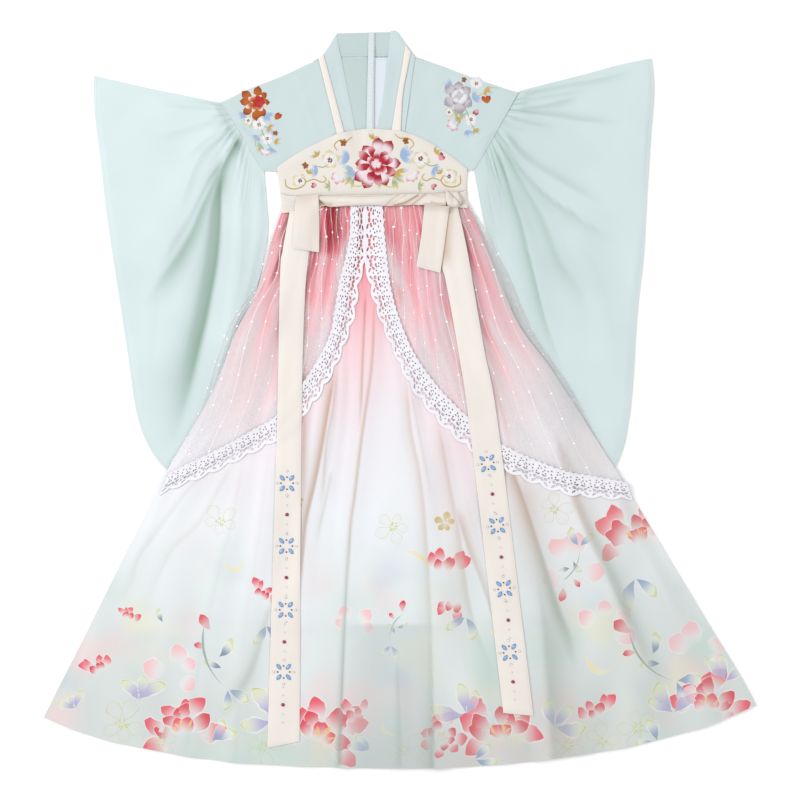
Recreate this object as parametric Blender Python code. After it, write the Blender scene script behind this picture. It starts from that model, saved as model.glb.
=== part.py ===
"""A child's chest-high hanfu dress with wide sleeves, laid flat on its back.

The garment lies in the X-Y plane with its collar towards +Y, and its layers are stacked along +Z. Each
piece of cloth is a wall of even thickness. Its outline is a patch between four edges. Its height is that
of the highest thing below it plus a small gap, plus its own folds. Tables are in millimetres, as seen
from above: left is -X.
"""
import math

import bmesh
import bpy
import numpy as np
from mathutils import Vector
from mathutils.bvhtree import BVHTree

MM = 0.001

# Cloth thicknesses, in millimetres
CHIFFON = 1.2
ORGANZA = 1.0
LACE = 1.2
TAPE = 1.6
BAND = 2.0

# Heights of the rolled sash and of its knot above their cloth
SASH_RISE = 4.5
KNOT_RISE = 6.5

# Clearances: between layers, at a seam, between the two sides of a flattened sleeve
GAP = 0.35
SEAM = 0.4
SLEEVE_GAP = 0.4

# Spacing of the places where a piece feels for what lies below it
PROBE = 3.0

# Colours, linear red, green and blue
MINT = (0.66, 0.80, 0.79)
MINT_INSIDE = (0.56, 0.72, 0.71)
WHITE = (0.80, 0.84, 0.90)
CREAM = (0.83, 0.78, 0.71)
ROSE = (0.80, 0.52, 0.56)
VEIL = (0.86, 0.82, 0.84)
LACE_WHITE = (0.88, 0.88, 0.90)

# Seams that two pieces share: points (x, y)
ARMHOLE_LEFT = [(-261, 434), (-241, 405), (-219, 370), (-199, 335)]
ARMHOLE_RIGHT = [(171, 449), (150, 411), (128, 372), (108, 338)]
SHOULDER_LEFT = [(-261, 434), (-218, 455), (-174, 472), (-136, 490), (-115, 500)]
SHOULDER_RIGHT = [(22, 501), (55, 490), (102, 472), (152, 455), (171, 449)]
COLLAR_SEAM_LEFT = [(-115, 500), (-101, 445), (-86, 388), (-80, 361)]
COLLAR_SEAM_RIGHT = [(22, 501), (7, 392), (4, 361)]
BAND_SEAM = [(-175, 301), (-146, 298), (-42, 300), (58, 298), (97, 306)]
WAIST = [(-172, 271), (-102, 274), (0, 277), (99, 278)]

# Edges of the upper body: points (x, y)
CENTRE_BACK = [(-43, 501), (-43, 341)]
BODICE_BOTTOM_LEFT = [(-199, 335), (-178, 334), (-146, 343), (-80, 361)]
BODICE_BOTTOM_RIGHT = [(4, 361), (58, 345), (96, 335), (108, 338)]
COLLAR_INNER_LEFT = [(-93, 533), (-85, 494), (-65, 394), (-58, 362)]
COLLAR_INNER_RIGHT = [(-14, 539), (-18, 499), (-23, 447), (-32, 397), (-38, 362)]
COLLAR_TOP_RIGHT = [(-14, 539), (-5, 539), (8, 521), (22, 501)]
BAND_TOP = [(-180, 340), (-152, 359), (-120, 376), (-92, 388), (-66, 394), (-42, 396), (-12, 394),
            (7, 391), (36, 380), (69, 360), (98, 338)]

# Sleeves: edges from the armhole outwards, and the open mouth from its top round its lower corner
SLEEVE_LEFT = {
    "top": [(-261, 434), (-276, 437), (-365, 455), (-448, 474)],
    "inner": [(-199, 335), (-195, 284), (-194, 240), (-210, 160), (-234, 80), (-260, -8), (-283, -74),
              (-307, -114)],
    "mouth": [(-448, 474), (-447, 423), (-439, 357), (-428, 262), (-412, 157), (-396, 52), (-388, -5),
              (-378, -44), (-361, -79), (-339, -104), (-307, -114)],
}
SLEEVE_RIGHT = {
    "top": [(171, 449), (185, 454), (256, 472), (324, 490), (368, 499)],
    "inner": [(108, 338), (117, 291), (127, 245), (153, 167), (178, 94), (212, 14), (245, -59), (277, -117)],
    "mouth": [(368, 499), (371, 452), (366, 385), (362, 321), (356, 218), (347, 131), (339, 14),
              (333, -37), (324, -77), (308, -106), (277, -117)],
}
# Lines that fan out over a sleeve: (share of the armhole, share of the mouth)
SLEEVE_FAN_LEFT = [(0.0, 0.0), (0.2, 0.17), (0.42, 0.50), (0.58, 0.84), (0.8, 0.94), (1.0, 1.0)]
SLEEVE_FAN_RIGHT = [(0.0, 0.0), (0.1, 0.03), (0.25, 0.15), (0.46, 0.43), (0.66, 0.90), (1.0, 1.0)]

# Skirt and overskirt: sides from the waist down, hems from left to right, open edges from the waist down
SKIRT = {
    "left": [(-172, 271), (-187, 233), (-199, 189), (-215, 145), (-239, 100), (-257, 53), (-273, 14),
             (-302, -39), (-343, -109), (-394, -211), (-456, -336), (-499, -421), (-521, -465)],
    "right": [(99, 278), (112, 255), (127, 220), (145, 172), (165, 126), (184, 93), (216, 52), (256, -9),
              (288, -60), (328, -123), (381, -211), (444, -316), (498, -404), (521, -447)],
    "hem": [(-521, -465), (-454, -491), (-380, -509), (-276, -526), (-146, -536), (0, -539), (117, -536),
            (219, -526), (330, -509), (402, -491), (458, -474), (521, -447)],
}
OVERSKIRT = {
    "left": [(-173, 271), (-181, 259), (-193, 233), (-210, 170), (-247, 116), (-269, 61), (-285, 8),
             (-303, -39), (-333, -91), (-352, -130)],
    "right": [(100, 278), (111, 270), (128, 245), (146, 210), (164, 172), (181, 129), (201, 88), (220, 61),
              (254, 11), (289, -56), (338, -136)],
    "back_hem": [(-352, -130), (-200, -150), (0, -160), (200, -155), (338, -136)],
    "open_left": [(-62, 275), (-63, 240), (-67, 200), (-78, 160), (-84, 119), (-98, 76), (-125, 40),
                  (-158, -6), (-198, -48), (-239, -68), (-290, -96), (-352, -130)],
    "open_right": [(-38, 276), (-35, 240), (-30, 180), (-16, 125), (5, 74), (35, 21), (68, -24),
                   (103, -50), (150, -78), (197, -105), (260, -122), (338, -136)],
}
LINING_SHARE = 0.74
LINING_INSET = 1 / 24

# Lace: its straight edge and the tips of its scallops, from the waist to the side of the skirt
LACE_LEFT = {
    "straight": [(-73, 274), (-74, 242), (-80, 210), (-90, 170), (-95, 138), (-102, 99), (-120, 61),
                 (-146, 20), (-179, -21), (-215, -43), (-259, -68), (-304, -90), (-337, -106)],
    "scallop": [(-52, 274), (-52, 240), (-53, 200), (-60, 166), (-66, 125), (-80, 83), (-99, 38),
                (-131, -12), (-176, -56), (-210, -75), (-244, -92), (-284, -111), (-317, -124), (-352, -139)],
}
LACE_RIGHT = {
    "straight": [(-25, 275), (-21, 234), (-13, 166), (1, 115), (22, 67), (54, 22), (86, -12), (101, -25),
                 (131, -53), (158, -69), (197, -87), (245, -104), (295, -113), (331, -120)],
    "scallop": [(-50, 275), (-51, 240), (-50, 200), (-44, 166), (-33, 128), (-15, 83), (14, 22), (36, -8),
                (60, -36), (104, -74), (160, -106), (200, -124), (245, -138), (295, -144), (340, -146)],
}
LACE_REPEAT = 27
LACE_CELLS = 4
LACE_ROWS = [0, 0.20, 0.38, 0.60, 0.82, 1.0]
SCALLOP_DIP = [0.10, 0.03, 0.0, 0.03]

# Strips: left and right edges from the top down
STRIPS = {
    "strap_left": {"left": [(-119, 498), (-104, 437), (-92, 388), (-88, 372)],
                   "right": [(-112, 505), (-94, 438), (-81, 388), (-77, 372)]},
    "strap_right": {"left": [(8, 519), (3, 486), (-5, 440), (-12, 394), (-15, 378)],
                    "right": [(16, 508), (11, 484), (4, 445), (1, 394), (0, 378)]},
    "tie_left": {"left": [(-162, 268), (-171, 218), (-175, 178), (-180, -44), (-194, -509)],
                 "right": [(-130, 268), (-133, 215), (-139, 147), (-144, -44), (-147, -500)]},
    "tie_right": {"left": [(70, 277), (67, 233), (66, 183), (85, 72), (102, -44), (151, -458)],
                  "right": [(87, 277), (108, 160), (123, 72), (144, -44), (195, -462)]},
    "tail_left": {"left": [(-152, 297), (-155, 258), (-156, 220)],
                  "right": [(-119, 300), (-118, 258), (-118, 215)]},
    "tail_right": {"left": [(36, 286), (31, 240), (24, 194)],
                   "right": [(72, 281), (66, 235), (59, 185)]},
    "sash_knot": {"left": [(67, 305), (67, 292), (70, 280)],
                  "right": [(85, 304), (91, 292), (86, 281)]},
}
SASH_TOP = [(-117, 297), (-60, 297), (0, 299), (66, 303)]
SASH_BOTTOM = [(-117, 281), (-60, 281), (0, 283), (66, 283)]

# Four-sided pieces: corners at top left, top right, bottom right and bottom left
QUADS = {
    "collar_back": [(-92, 536), (-5, 538), (20, 502), (-113, 502)],
    "back_lining": [(-39, 500), (-16, 500), (-28, 362), (-42, 362)],
    "back_zip": [(-46, 537), (-37, 537), (-38, 362), (-50, 362)],
    "chest_band_back": [(-178, 332), (97, 332), (99, 278.4), (-172, 271.4)],
}

# Folds: (share across at the start, share across at the end, start, end, half width, height). Start and
# end are shares of the way down. A fold with its end past 1 runs out through the edge.
SKIRT_FOLDS = [
    (0.045, 0.050, 0.10, 1.05, 26, 5.0),
    (0.140, 0.135, 0.15, 1.05, 30, 5.5),
    (0.225, 0.235, 0.08, 1.05, 34, 6.0),
    (0.318, 0.330, 0.05, 0.90, 26, 6.5),
    (0.412, 0.412, 0.20, 1.05, 22, 6.0),
    (0.548, 0.543, 0.22, 1.05, 26, 7.0),
    (0.640, 0.650, 0.10, 1.05, 30, 5.0),
    (0.752, 0.730, 0.18, 1.05, 28, 6.5),
    (0.870, 0.872, 0.25, 1.05, 30, 6.0),
    (0.955, 0.950, 0.15, 1.05, 24, 4.5),
]
OVERSKIRT_FOLDS_LEFT = [
    (0.12, 0.12, 0.15, 1.05, 22, 3.5),
    (0.36, 0.34, 0.20, 1.05, 22, 3.5),
    (0.62, 0.60, 0.25, 1.05, 18, 2.5),
]
OVERSKIRT_FOLDS_RIGHT = [
    (0.14, 0.12, 0.15, 1.05, 22, 3.5),
    (0.33, 0.36, 0.20, 1.05, 24, 4.0),
    (0.60, 0.62, 0.25, 1.05, 18, 2.5),
]
SLEEVE_FOLDS_LEFT = [
    (0.22, 0.22, 0.05, 0.60, 16, 4.0),
    (0.40, 0.42, 0.05, 0.85, 22, 5.5),
    (0.50, 0.55, 0.08, 0.95, 26, 7.0),
    (0.66, 0.70, 0.05, 0.90, 26, 7.5),
    (0.82, 0.86, 0.10, 0.55, 14, 4.0),
]
SLEEVE_FOLDS_RIGHT = [
    (0.10, 0.08, 0.04, 0.85, 16, 4.0),
    (0.24, 0.22, 0.04, 0.95, 18, 4.5),
    (0.46, 0.47, 0.08, 0.90, 24, 6.5),
    (0.62, 0.63, 0.06, 0.90, 24, 6.5),
    (0.78, 0.80, 0.10, 0.80, 14, 5.0),
]

# Gathers: waves in the gathered edge, their height, and how far down they reach
SKIRT_GATHERS = (22, 3.4, 0.55)
OVERSKIRT_GATHERS = (8, 2.4, 0.8)
SLEEVE_GATHERS = (7, 3.0, 0.4)

# Rows of points, as shares of the way down, closer together near the gathers
SKIRT_ROWS = np.array([0, 0.035, 0.10, 0.19, 0.31, 0.45, 0.60, 0.75, 1.0])
SKIRT_BACK_ROWS = np.array([0, 0.12, 0.25, 0.38, 0.5, 0.62, 0.8, 1.0])
OVERSKIRT_ROWS = np.array([0, 0.07, 0.2, 0.4, 0.68, 1.0])
SLEEVE_ROWS = np.array([0, 0.05, 0.14, 0.28, 0.45, 0.64, 0.82, 1.0])
# Columns of points: four to each gather
SKIRT_COLUMNS = 4 * SKIRT_GATHERS[0]
OVERSKIRT_COLUMNS = 4 * OVERSKIRT_GATHERS[0]
SLEEVE_COLUMNS = 4 * SLEEVE_GATHERS[0]
SLEEVE_BACK_COLUMNS = 8
BACK_COLUMNS = 24


# ---------------------------------------------------------------- outlines
def curve(points, shares):
    """Points at the given shares of the length of a smooth line through a table's points."""
    table = np.array(points, float)
    if len(table) == 2:
        return table[0] + np.asarray(shares)[:, None] * (table[1] - table[0])
    steps = np.linspace(0, 1, 17)[:-1, None]
    padded = np.vstack([2 * table[0] - table[1], table, 2 * table[-1] - table[-2]])
    runs = []
    for a, b, c, d in zip(padded, padded[1:], padded[2:], padded[3:]):
        runs.append(0.5 * (2 * b + (c - a) * steps + (2 * a - 5 * b + 4 * c - d) * steps ** 2
                           + (3 * b - a - 3 * c + d) * steps ** 3))
    line = np.vstack(runs + [table[-1:]])
    length = np.concatenate([[0], np.cumsum(np.linalg.norm(np.diff(line, axis=0), axis=1))])
    at = np.asarray(shares) * length[-1]
    return np.column_stack([np.interp(at, length, line[:, 0]), np.interp(at, length, line[:, 1])])


def patch(top, bottom, left, right, across, down):
    """Grid of points between four edges, rows down and columns across (a Coons patch)."""
    u = np.asarray(across)[None, :, None]
    v = np.asarray(down)[:, None, None]
    ruled_down = (1 - v) * top[None] + v * bottom[None]
    ruled_across = (1 - u) * left[:, None] + u * right[:, None]
    corners = ((1 - u) * (1 - v) * top[0] + u * (1 - v) * top[-1]
               + (1 - u) * v * bottom[0] + u * v * bottom[-1])
    return ruled_down + ruled_across - corners


def panel(top, bottom, left, right, columns, rows):
    """A patch of even columns and rows from four tables of points."""
    across = np.linspace(0, 1, columns + 1)
    down = np.linspace(0, 1, rows + 1)
    return patch(curve(top, across), curve(bottom, across), curve(left, down), curve(right, down),
                 across, down)


def strip(edges, columns, rows):
    """A strip between a left and a right edge."""
    left, right = edges["left"], edges["right"]
    return panel([left[0], right[0]], [left[-1], right[-1]], left, right, columns, rows)


def quad(corners, columns, rows):
    """A four-sided piece with straight edges."""
    top_left, top_right, low_right, low_left = corners
    return panel([top_left, top_right], [low_left, low_right], [top_left, low_left],
                 [top_right, low_right], columns, rows)


def moved(points, x=0.0, y=0.0):
    """The same points, moved aside to leave a seam."""
    return [(px + x, py + y) for px, py in points]


# ---------------------------------------------------------------- folds
def smooth(x):
    """A soft step from 0 to 1."""
    x = np.clip(x, 0, 1)
    return x * x * (3 - 2 * x)


def gathers(u, v, count, height, reach):
    """Uneven waves across a gathered edge: low in the seam, tallest just below it, gone at reach."""
    phase = count * u + 0.35 * np.sin(5.3 * math.pi * u + 1.0) + 0.2 * np.sin(11 * math.pi * u)
    waves = 0.5 - 0.5 * np.cos(2 * math.pi * phase)
    rise = 0.35 + 0.65 * smooth(v / 0.06)
    fade = 1 - smooth((v - 0.06) / (reach * (0.8 + 0.2 * np.sin(7 * math.pi * u))))
    return height * waves * rise * fade


def folds(plan, u, v, table):
    """Soft ridges that run down a panel, each growing from its start and widening to its end."""
    width_across = np.linalg.norm(np.diff(plan, axis=1), axis=2).sum(axis=1)[:, None]
    relief = np.zeros(plan.shape[:2])
    for place_start, place_end, start, end, half_width, height in table:
        along = np.clip((v - start) / (end - start), 0, 1)
        place = place_start + (place_end - place_start) * along
        away = (u - place) * width_across / (half_width * (0.45 + 0.55 * along))
        body = smooth((v - start) / 0.18)
        if end < 1:
            body = body * (1 - smooth((v - end + 0.15) / 0.15))
        relief += height * body * np.exp(-away ** 2)
    return relief


# ---------------------------------------------------------------- laying one piece on another
laid = []


def top_at(x, y):
    """Height of the highest piece laid so far at a place, or 0 for the floor."""
    best = 0.0
    for low, high, tree in laid:
        if low[0] <= x <= high[0] and low[1] <= y <= high[1]:
            hit = tree.ray_cast(Vector((x, y, 200.0)), Vector((0, 0, -1)))[0]
            if hit is not None:
                best = max(best, hit.z)
    return best


def cell_top(a, b, c, d):
    """The highest thing under a four-sided cell, felt for at evenly spread places."""
    tall = max(np.linalg.norm(c - a), np.linalg.norm(d - b))
    wide = max(np.linalg.norm(b - a), np.linalg.norm(d - c))
    best = 0.0
    for v in np.linspace(0, 1, 2 + int(tall / PROBE)):
        for u in np.linspace(0, 1, 2 + int(wide / PROBE)):
            best = max(best, top_at(*((1 - v) * ((1 - u) * a + u * b) + v * ((1 - u) * c + u * d))))
    return best


def resting(plan):
    """Heights at which a panel clears all below it: each point stands a gap above the highest thing
    under the cells round it, or on the floor."""
    rows, columns = plan.shape[:2]
    under = np.zeros((rows, columns))
    for r in range(rows - 1):
        for c in range(columns - 1):
            best = cell_top(plan[r, c], plan[r, c + 1], plan[r + 1, c], plan[r + 1, c + 1])
            if best > 0:
                corner = under[r:r + 2, c:c + 2]
                np.maximum(corner, best + GAP, out=corner)
    return under


# ---------------------------------------------------------------- solids
def material(name, colour):
    """A plain matt cloth."""
    made = bpy.data.materials.new(name)
    made.use_nodes = True
    shader = made.node_tree.nodes["Principled BSDF"]
    shader.inputs["Base Color"].default_value = (*colour, 1)
    shader.inputs["Roughness"].default_value = 0.8
    shader.inputs["Metallic"].default_value = 0.0
    return made


def solid(name, points, faces, colour):
    """An object from points in millimetres; it also joins what later pieces are laid on."""
    mesh = bpy.data.meshes.new(name)
    mesh.from_pydata(np.asarray(points).tolist(), [], faces)
    shell = bmesh.new()
    shell.from_mesh(mesh)
    bmesh.ops.triangulate(shell, faces=shell.faces)
    bmesh.ops.recalc_face_normals(shell, faces=shell.faces)
    laid.append((np.min(points, axis=0), np.max(points, axis=0), BVHTree.FromBMesh(shell)))
    bmesh.ops.scale(shell, vec=(MM, MM, MM), verts=shell.verts)
    shell.to_mesh(mesh)
    shell.free()
    mesh.shade_smooth()
    mesh.set_sharp_from_angle(angle=math.radians(40))
    mesh.materials.append(material(name, colour))
    made = bpy.data.objects.new(name, mesh)
    bpy.context.scene.collection.objects.link(made)


def wall(name, plan, thick, colour, relief=0.0, kept=None):
    """Cloth laid on what is below it: its under face, the same grid raised, and the rims between
    them. kept says which cells of the grid there are."""
    rows, columns = plan.shape[:2]
    if kept is None:
        kept = np.ones((rows - 1, columns - 1), bool)
    under = resting(plan) + relief
    count = rows * columns
    points = np.vstack([np.dstack([plan, under]).reshape(-1, 3),
                        np.dstack([plan, under + thick]).reshape(-1, 3)])
    first = np.arange(count).reshape(rows, columns)[:-1, :-1][kept] + count
    upper = [(a, a + columns, a + columns + 1, a + 1) for a in first.tolist()]
    lower = [tuple(i - count for i in reversed(face)) for face in upper]
    sides = set()
    for face in upper:
        sides.update(zip(face, face[1:] + face[:1]))
    rims = [(b, a, a - count, b - count) for a, b in sorted(sides) if (b, a) not in sides]
    faces = upper + lower + rims
    used = sorted({i for face in faces for i in face})
    place = {old: new for new, old in enumerate(used)}
    solid(name, points[used], [tuple(place[i] for i in face) for face in faces], colour)


def flattened_tube(name, outer, inner, colour):
    """A closed wall between an outer and an inner surface, each a ring of points at every row. The
    tube is open at both ends, where rims join the two."""
    rows, around = outer.shape[:2]
    count = rows * around
    last = count - around
    faces = []
    for i in range(around):
        j = (i + 1) % around
        for a in range(0, last, around):
            faces.append((a + i, a + around + i, a + around + j, a + j))
            faces.append((a + j + count, a + around + j + count, a + around + i + count, a + i + count))
        faces.append((i, j, j + count, i + count))
        faces.append((last + j, last + i, last + i + count, last + j + count))
    solid(name, np.vstack([outer.reshape(-1, 3), inner.reshape(-1, 3)]), faces, colour)


# ---------------------------------------------------------------- the pieces
def sleeve_plan(outline, armhole, fan, columns, inset):
    """A sleeve's grid: its lines fan out from the armhole. inset draws its side edges in."""
    across = np.linspace(0, 1, columns + 1)
    at_armhole, at_mouth = zip(*fan)
    mouth = curve(outline["mouth"], np.interp(across, at_armhole, at_mouth))
    plan = patch(curve(armhole, across), mouth, curve(outline["top"], SLEEVE_ROWS),
                 curve(outline["inner"], SLEEVE_ROWS), across, SLEEVE_ROWS)
    for edge, neighbour in ((0, 1), (-1, -2)):
        away = plan[:, neighbour] - plan[:, edge]
        plan[:, edge] += inset * away / np.linalg.norm(away, axis=1)[:, None]
    return plan


def sleeve(name, outline, armhole, fan, fold_table):
    """A wide sleeve pressed flat on the floor, gathered into the armhole and open at its mouth."""
    plan = sleeve_plan(outline, armhole, fan, SLEEVE_COLUMNS, 0)
    u = np.linspace(0, 1, SLEEVE_COLUMNS + 1)[None, :]
    v = SLEEVE_ROWS[:, None]
    edges = smooth(u / 0.08) * smooth((1 - u) / 0.16)
    relief = edges * (gathers(u, v, *SLEEVE_GATHERS) + folds(plan, u, v, fold_table))
    surfaces = []
    for inset, front_rise, back_rise in ((0, CHIFFON, 0), (CHIFFON, 0, CHIFFON)):
        front = sleeve_plan(outline, armhole, fan, SLEEVE_COLUMNS, inset)
        back = sleeve_plan(outline, armhole, fan, SLEEVE_BACK_COLUMNS, inset)[:, ::-1]
        front = np.dstack([front, CHIFFON + SLEEVE_GAP + relief + front_rise])
        back = np.dstack([back, np.full(back.shape[:2], float(back_rise))])
        surfaces.append(np.concatenate([front, back], axis=1))
    flattened_tube(name, *surfaces, MINT)


def bodice_back():
    """The back of the bodice in two halves that meet at the zip."""
    half_gap = SEAM / 2
    left_side = moved(CENTRE_BACK, -half_gap)
    plan = panel(SHOULDER_LEFT + left_side[:1], [ARMHOLE_LEFT[-1], left_side[-1]],
                 moved(ARMHOLE_LEFT, SEAM), left_side, 8, 4)
    wall("bodice_back_left", plan, CHIFFON, MINT_INSIDE)
    right_side = moved(CENTRE_BACK, half_gap)
    plan = panel(right_side[:1] + SHOULDER_RIGHT, [right_side[-1], ARMHOLE_RIGHT[-1]],
                 right_side, moved(ARMHOLE_RIGHT, -SEAM), 8, 4)
    wall("bodice_back_right", plan, CHIFFON, MINT_INSIDE)


def bodice_front():
    """The fronts of the bodice."""
    plan = panel(SHOULDER_LEFT, BODICE_BOTTOM_LEFT, moved(ARMHOLE_LEFT, SEAM),
                 moved(COLLAR_SEAM_LEFT, -SEAM), 7, 5)
    wall("bodice_front_left", plan, CHIFFON, MINT)
    plan = panel(SHOULDER_RIGHT, BODICE_BOTTOM_RIGHT, moved(COLLAR_SEAM_RIGHT, SEAM),
                 moved(ARMHOLE_RIGHT, -SEAM), 7, 5)
    wall("bodice_front_right", plan, CHIFFON, MINT)


def collar():
    """The two fronts of the collar band; the right one turns over at the top into the back."""
    plan = panel([COLLAR_SEAM_LEFT[0], COLLAR_INNER_LEFT[0]], [COLLAR_SEAM_LEFT[-1], COLLAR_INNER_LEFT[-1]],
                 COLLAR_SEAM_LEFT, COLLAR_INNER_LEFT, 2, 8)
    wall("collar_left", plan, CHIFFON, MINT)
    plan = panel(COLLAR_TOP_RIGHT, [COLLAR_INNER_RIGHT[-1], COLLAR_SEAM_RIGHT[-1]], COLLAR_INNER_RIGHT,
                 COLLAR_SEAM_RIGHT, 4, 8)
    wall("collar_right", plan, CHIFFON, MINT)


def chest_band():
    """The stiff chest band with its arched top, and the waistband below it."""
    plan = panel(BAND_TOP, BAND_SEAM, [BAND_TOP[0], BAND_SEAM[0]], [BAND_TOP[-1], BAND_SEAM[-1]], 14, 6)
    wall("chest_band_front", plan, BAND, CREAM)
    top, bottom = moved(BAND_SEAM, 0, -SEAM), moved(WAIST, 0, SEAM)
    plan = panel(top, bottom, [top[0], bottom[0]], [top[-1], bottom[-1]], 14, 2)
    wall("waistband_front", plan, BAND, CREAM)


def skirt_plan(columns, down):
    """The skirt's grid, at the given shares of the way down."""
    across = np.linspace(0, 1, columns + 1)
    return patch(curve(WAIST, across), curve(SKIRT["hem"], across), curve(SKIRT["left"], down),
                 curve(SKIRT["right"], down), across, down)


def skirt():
    """The back of the overskirt on the floor, then the skirt's back, lining and gathered front."""
    plan = panel(WAIST, OVERSKIRT["back_hem"], OVERSKIRT["left"], OVERSKIRT["right"], 12, 5)
    wall("overskirt_back", plan, ORGANZA, VEIL)
    wall("skirt_back", skirt_plan(BACK_COLUMNS, SKIRT_BACK_ROWS), CHIFFON, ROSE)
    plan = skirt_plan(BACK_COLUMNS, np.linspace(0, LINING_SHARE, 7))
    inset = round(LINING_INSET * BACK_COLUMNS)
    wall("skirt_lining", plan[:, inset:-inset], CHIFFON, WHITE)
    plan = skirt_plan(SKIRT_COLUMNS, SKIRT_ROWS)
    u = np.linspace(0, 1, SKIRT_COLUMNS + 1)[None, :]
    v = SKIRT_ROWS[:, None]
    relief = gathers(u, v, *SKIRT_GATHERS) + folds(plan, u, v, SKIRT_FOLDS)
    wall("skirt_front", plan, CHIFFON, ROSE, relief)


def overskirt(name, side, opening, fold_table):
    """One sheer front: its lines run from the waist to the curved edge that carries the lace. The
    first stretch of that edge drops straight from the waist and is the patch's inner side."""
    drop = 0.08
    across = np.linspace(0, 1, OVERSKIRT_COLUMNS + 1)
    waist = curve([side[0], opening[0]], across)
    low = curve(opening, 1 - across * (1 - drop))
    plan = patch(waist, low, curve(side, OVERSKIRT_ROWS), curve(opening, OVERSKIRT_ROWS * drop),
                 across, OVERSKIRT_ROWS)
    u = across[None, :]
    v = OVERSKIRT_ROWS[:, None]
    relief = gathers(u, v, *OVERSKIRT_GATHERS) + folds(plan, u, v, fold_table)
    wall(name, plan, ORGANZA, VEIL, relief)


def lace(name, outline):
    """A band of cells along the overskirt's edge. Each repeat has four open cells and one scallop."""
    length = np.linalg.norm(np.diff(np.array(outline["straight"], float), axis=0), axis=1).sum()
    cells = round(length / LACE_REPEAT) * LACE_CELLS
    along = np.linspace(0, 1, cells + 1)
    share = np.repeat([LACE_ROWS], cells + 1, axis=0)
    share[:, -1] -= np.array(SCALLOP_DIP)[np.arange(cells + 1) % LACE_CELLS]
    share = share[:, :, None]
    plan = curve(outline["straight"], along)[:, None] * (1 - share)
    plan += curve(outline["scallop"], along)[:, None] * share
    kept = np.ones((cells, len(LACE_ROWS) - 1), bool)
    beat = np.arange(cells) % LACE_CELLS
    kept[beat % 2 == 0, 3] = False
    kept[beat % 2 == 1, 1] = False
    wall(name, plan, LACE, LACE_WHITE, kept=kept)


def sash():
    """The rolled sash with a crest that winds along it, and its domed knot."""
    columns, rows = 22, 5
    plan = panel(SASH_TOP, SASH_BOTTOM, [SASH_TOP[0], SASH_BOTTOM[0]], [SASH_TOP[-1], SASH_BOTTOM[-1]],
                 columns, rows)
    u = np.linspace(0, 1, columns + 1)[None, :]
    v = np.linspace(0, 1, rows + 1)[:, None]
    crest = 0.5 + 0.22 * np.sin(2 * math.pi * (2.2 * u + 0.1))
    roll = SASH_RISE * np.clip(1 - ((v - crest) / 0.75) ** 2, 0, 1) * np.sin(math.pi * v) ** 0.5
    wall("waist_sash", plan, TAPE + roll, CREAM)
    u = np.linspace(-1, 1, 7)[None, :]
    v = np.linspace(-1, 1, 7)[:, None]
    dome = KNOT_RISE * np.sqrt((1 - u ** 2) * (1 - v ** 2))
    wall("sash_knot", strip(STRIPS["sash_knot"], 6, 6), TAPE + dome, CREAM)


def main():
    """Clear the scene and lay the garment from the floor up."""
    for old in list(bpy.data.objects):
        bpy.data.objects.remove(old, do_unlink=True)
    sleeve("sleeve_left", SLEEVE_LEFT, ARMHOLE_LEFT, SLEEVE_FAN_LEFT, SLEEVE_FOLDS_LEFT)
    sleeve("sleeve_right", SLEEVE_RIGHT, ARMHOLE_RIGHT, SLEEVE_FAN_RIGHT, SLEEVE_FOLDS_RIGHT)
    bodice_back()
    wall("collar_back", quad(QUADS["collar_back"], 6, 2), CHIFFON, MINT_INSIDE)
    wall("back_lining", quad(QUADS["back_lining"], 3, 6), CHIFFON, WHITE)
    wall("back_zip", quad(QUADS["back_zip"], 2, 8), CHIFFON, WHITE)
    wall("chest_band_back", quad(QUADS["chest_band_back"], 6, 2), CHIFFON, CREAM)
    skirt()
    overskirt("overskirt_left", OVERSKIRT["left"], OVERSKIRT["open_left"], OVERSKIRT_FOLDS_LEFT)
    overskirt("overskirt_right", OVERSKIRT["right"], OVERSKIRT["open_right"], OVERSKIRT_FOLDS_RIGHT)
    lace("lace_left", LACE_LEFT)
    lace("lace_right", LACE_RIGHT)
    bodice_front()
    collar()
    wall("strap_left", strip(STRIPS["strap_left"], 2, 9), CHIFFON, CREAM)
    wall("strap_right", strip(STRIPS["strap_right"], 2, 9), CHIFFON, CREAM)
    chest_band()
    wall("tie_left", strip(STRIPS["tie_left"], 3, 16), TAPE, CREAM)
    wall("tie_right", strip(STRIPS["tie_right"], 3, 16), TAPE, CREAM)
    sash()
    wall("tail_left", strip(STRIPS["tail_left"], 4, 8), TAPE, CREAM)
    wall("tail_right", strip(STRIPS["tail_right"], 4, 8), TAPE, CREAM)


main()
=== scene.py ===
"""The looks of a child's chest-high hanfu dress with wide sleeves, laid flat on its back.

Every piece of cloth is a surface of two parameters: a patch between four edges, laid a hair above the
highest thing below it, with its own gathers and creases. Lengths are in millimetres until a mesh is made.
Seen from above, left is -X and the collar is towards +Y.
"""
import math

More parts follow.
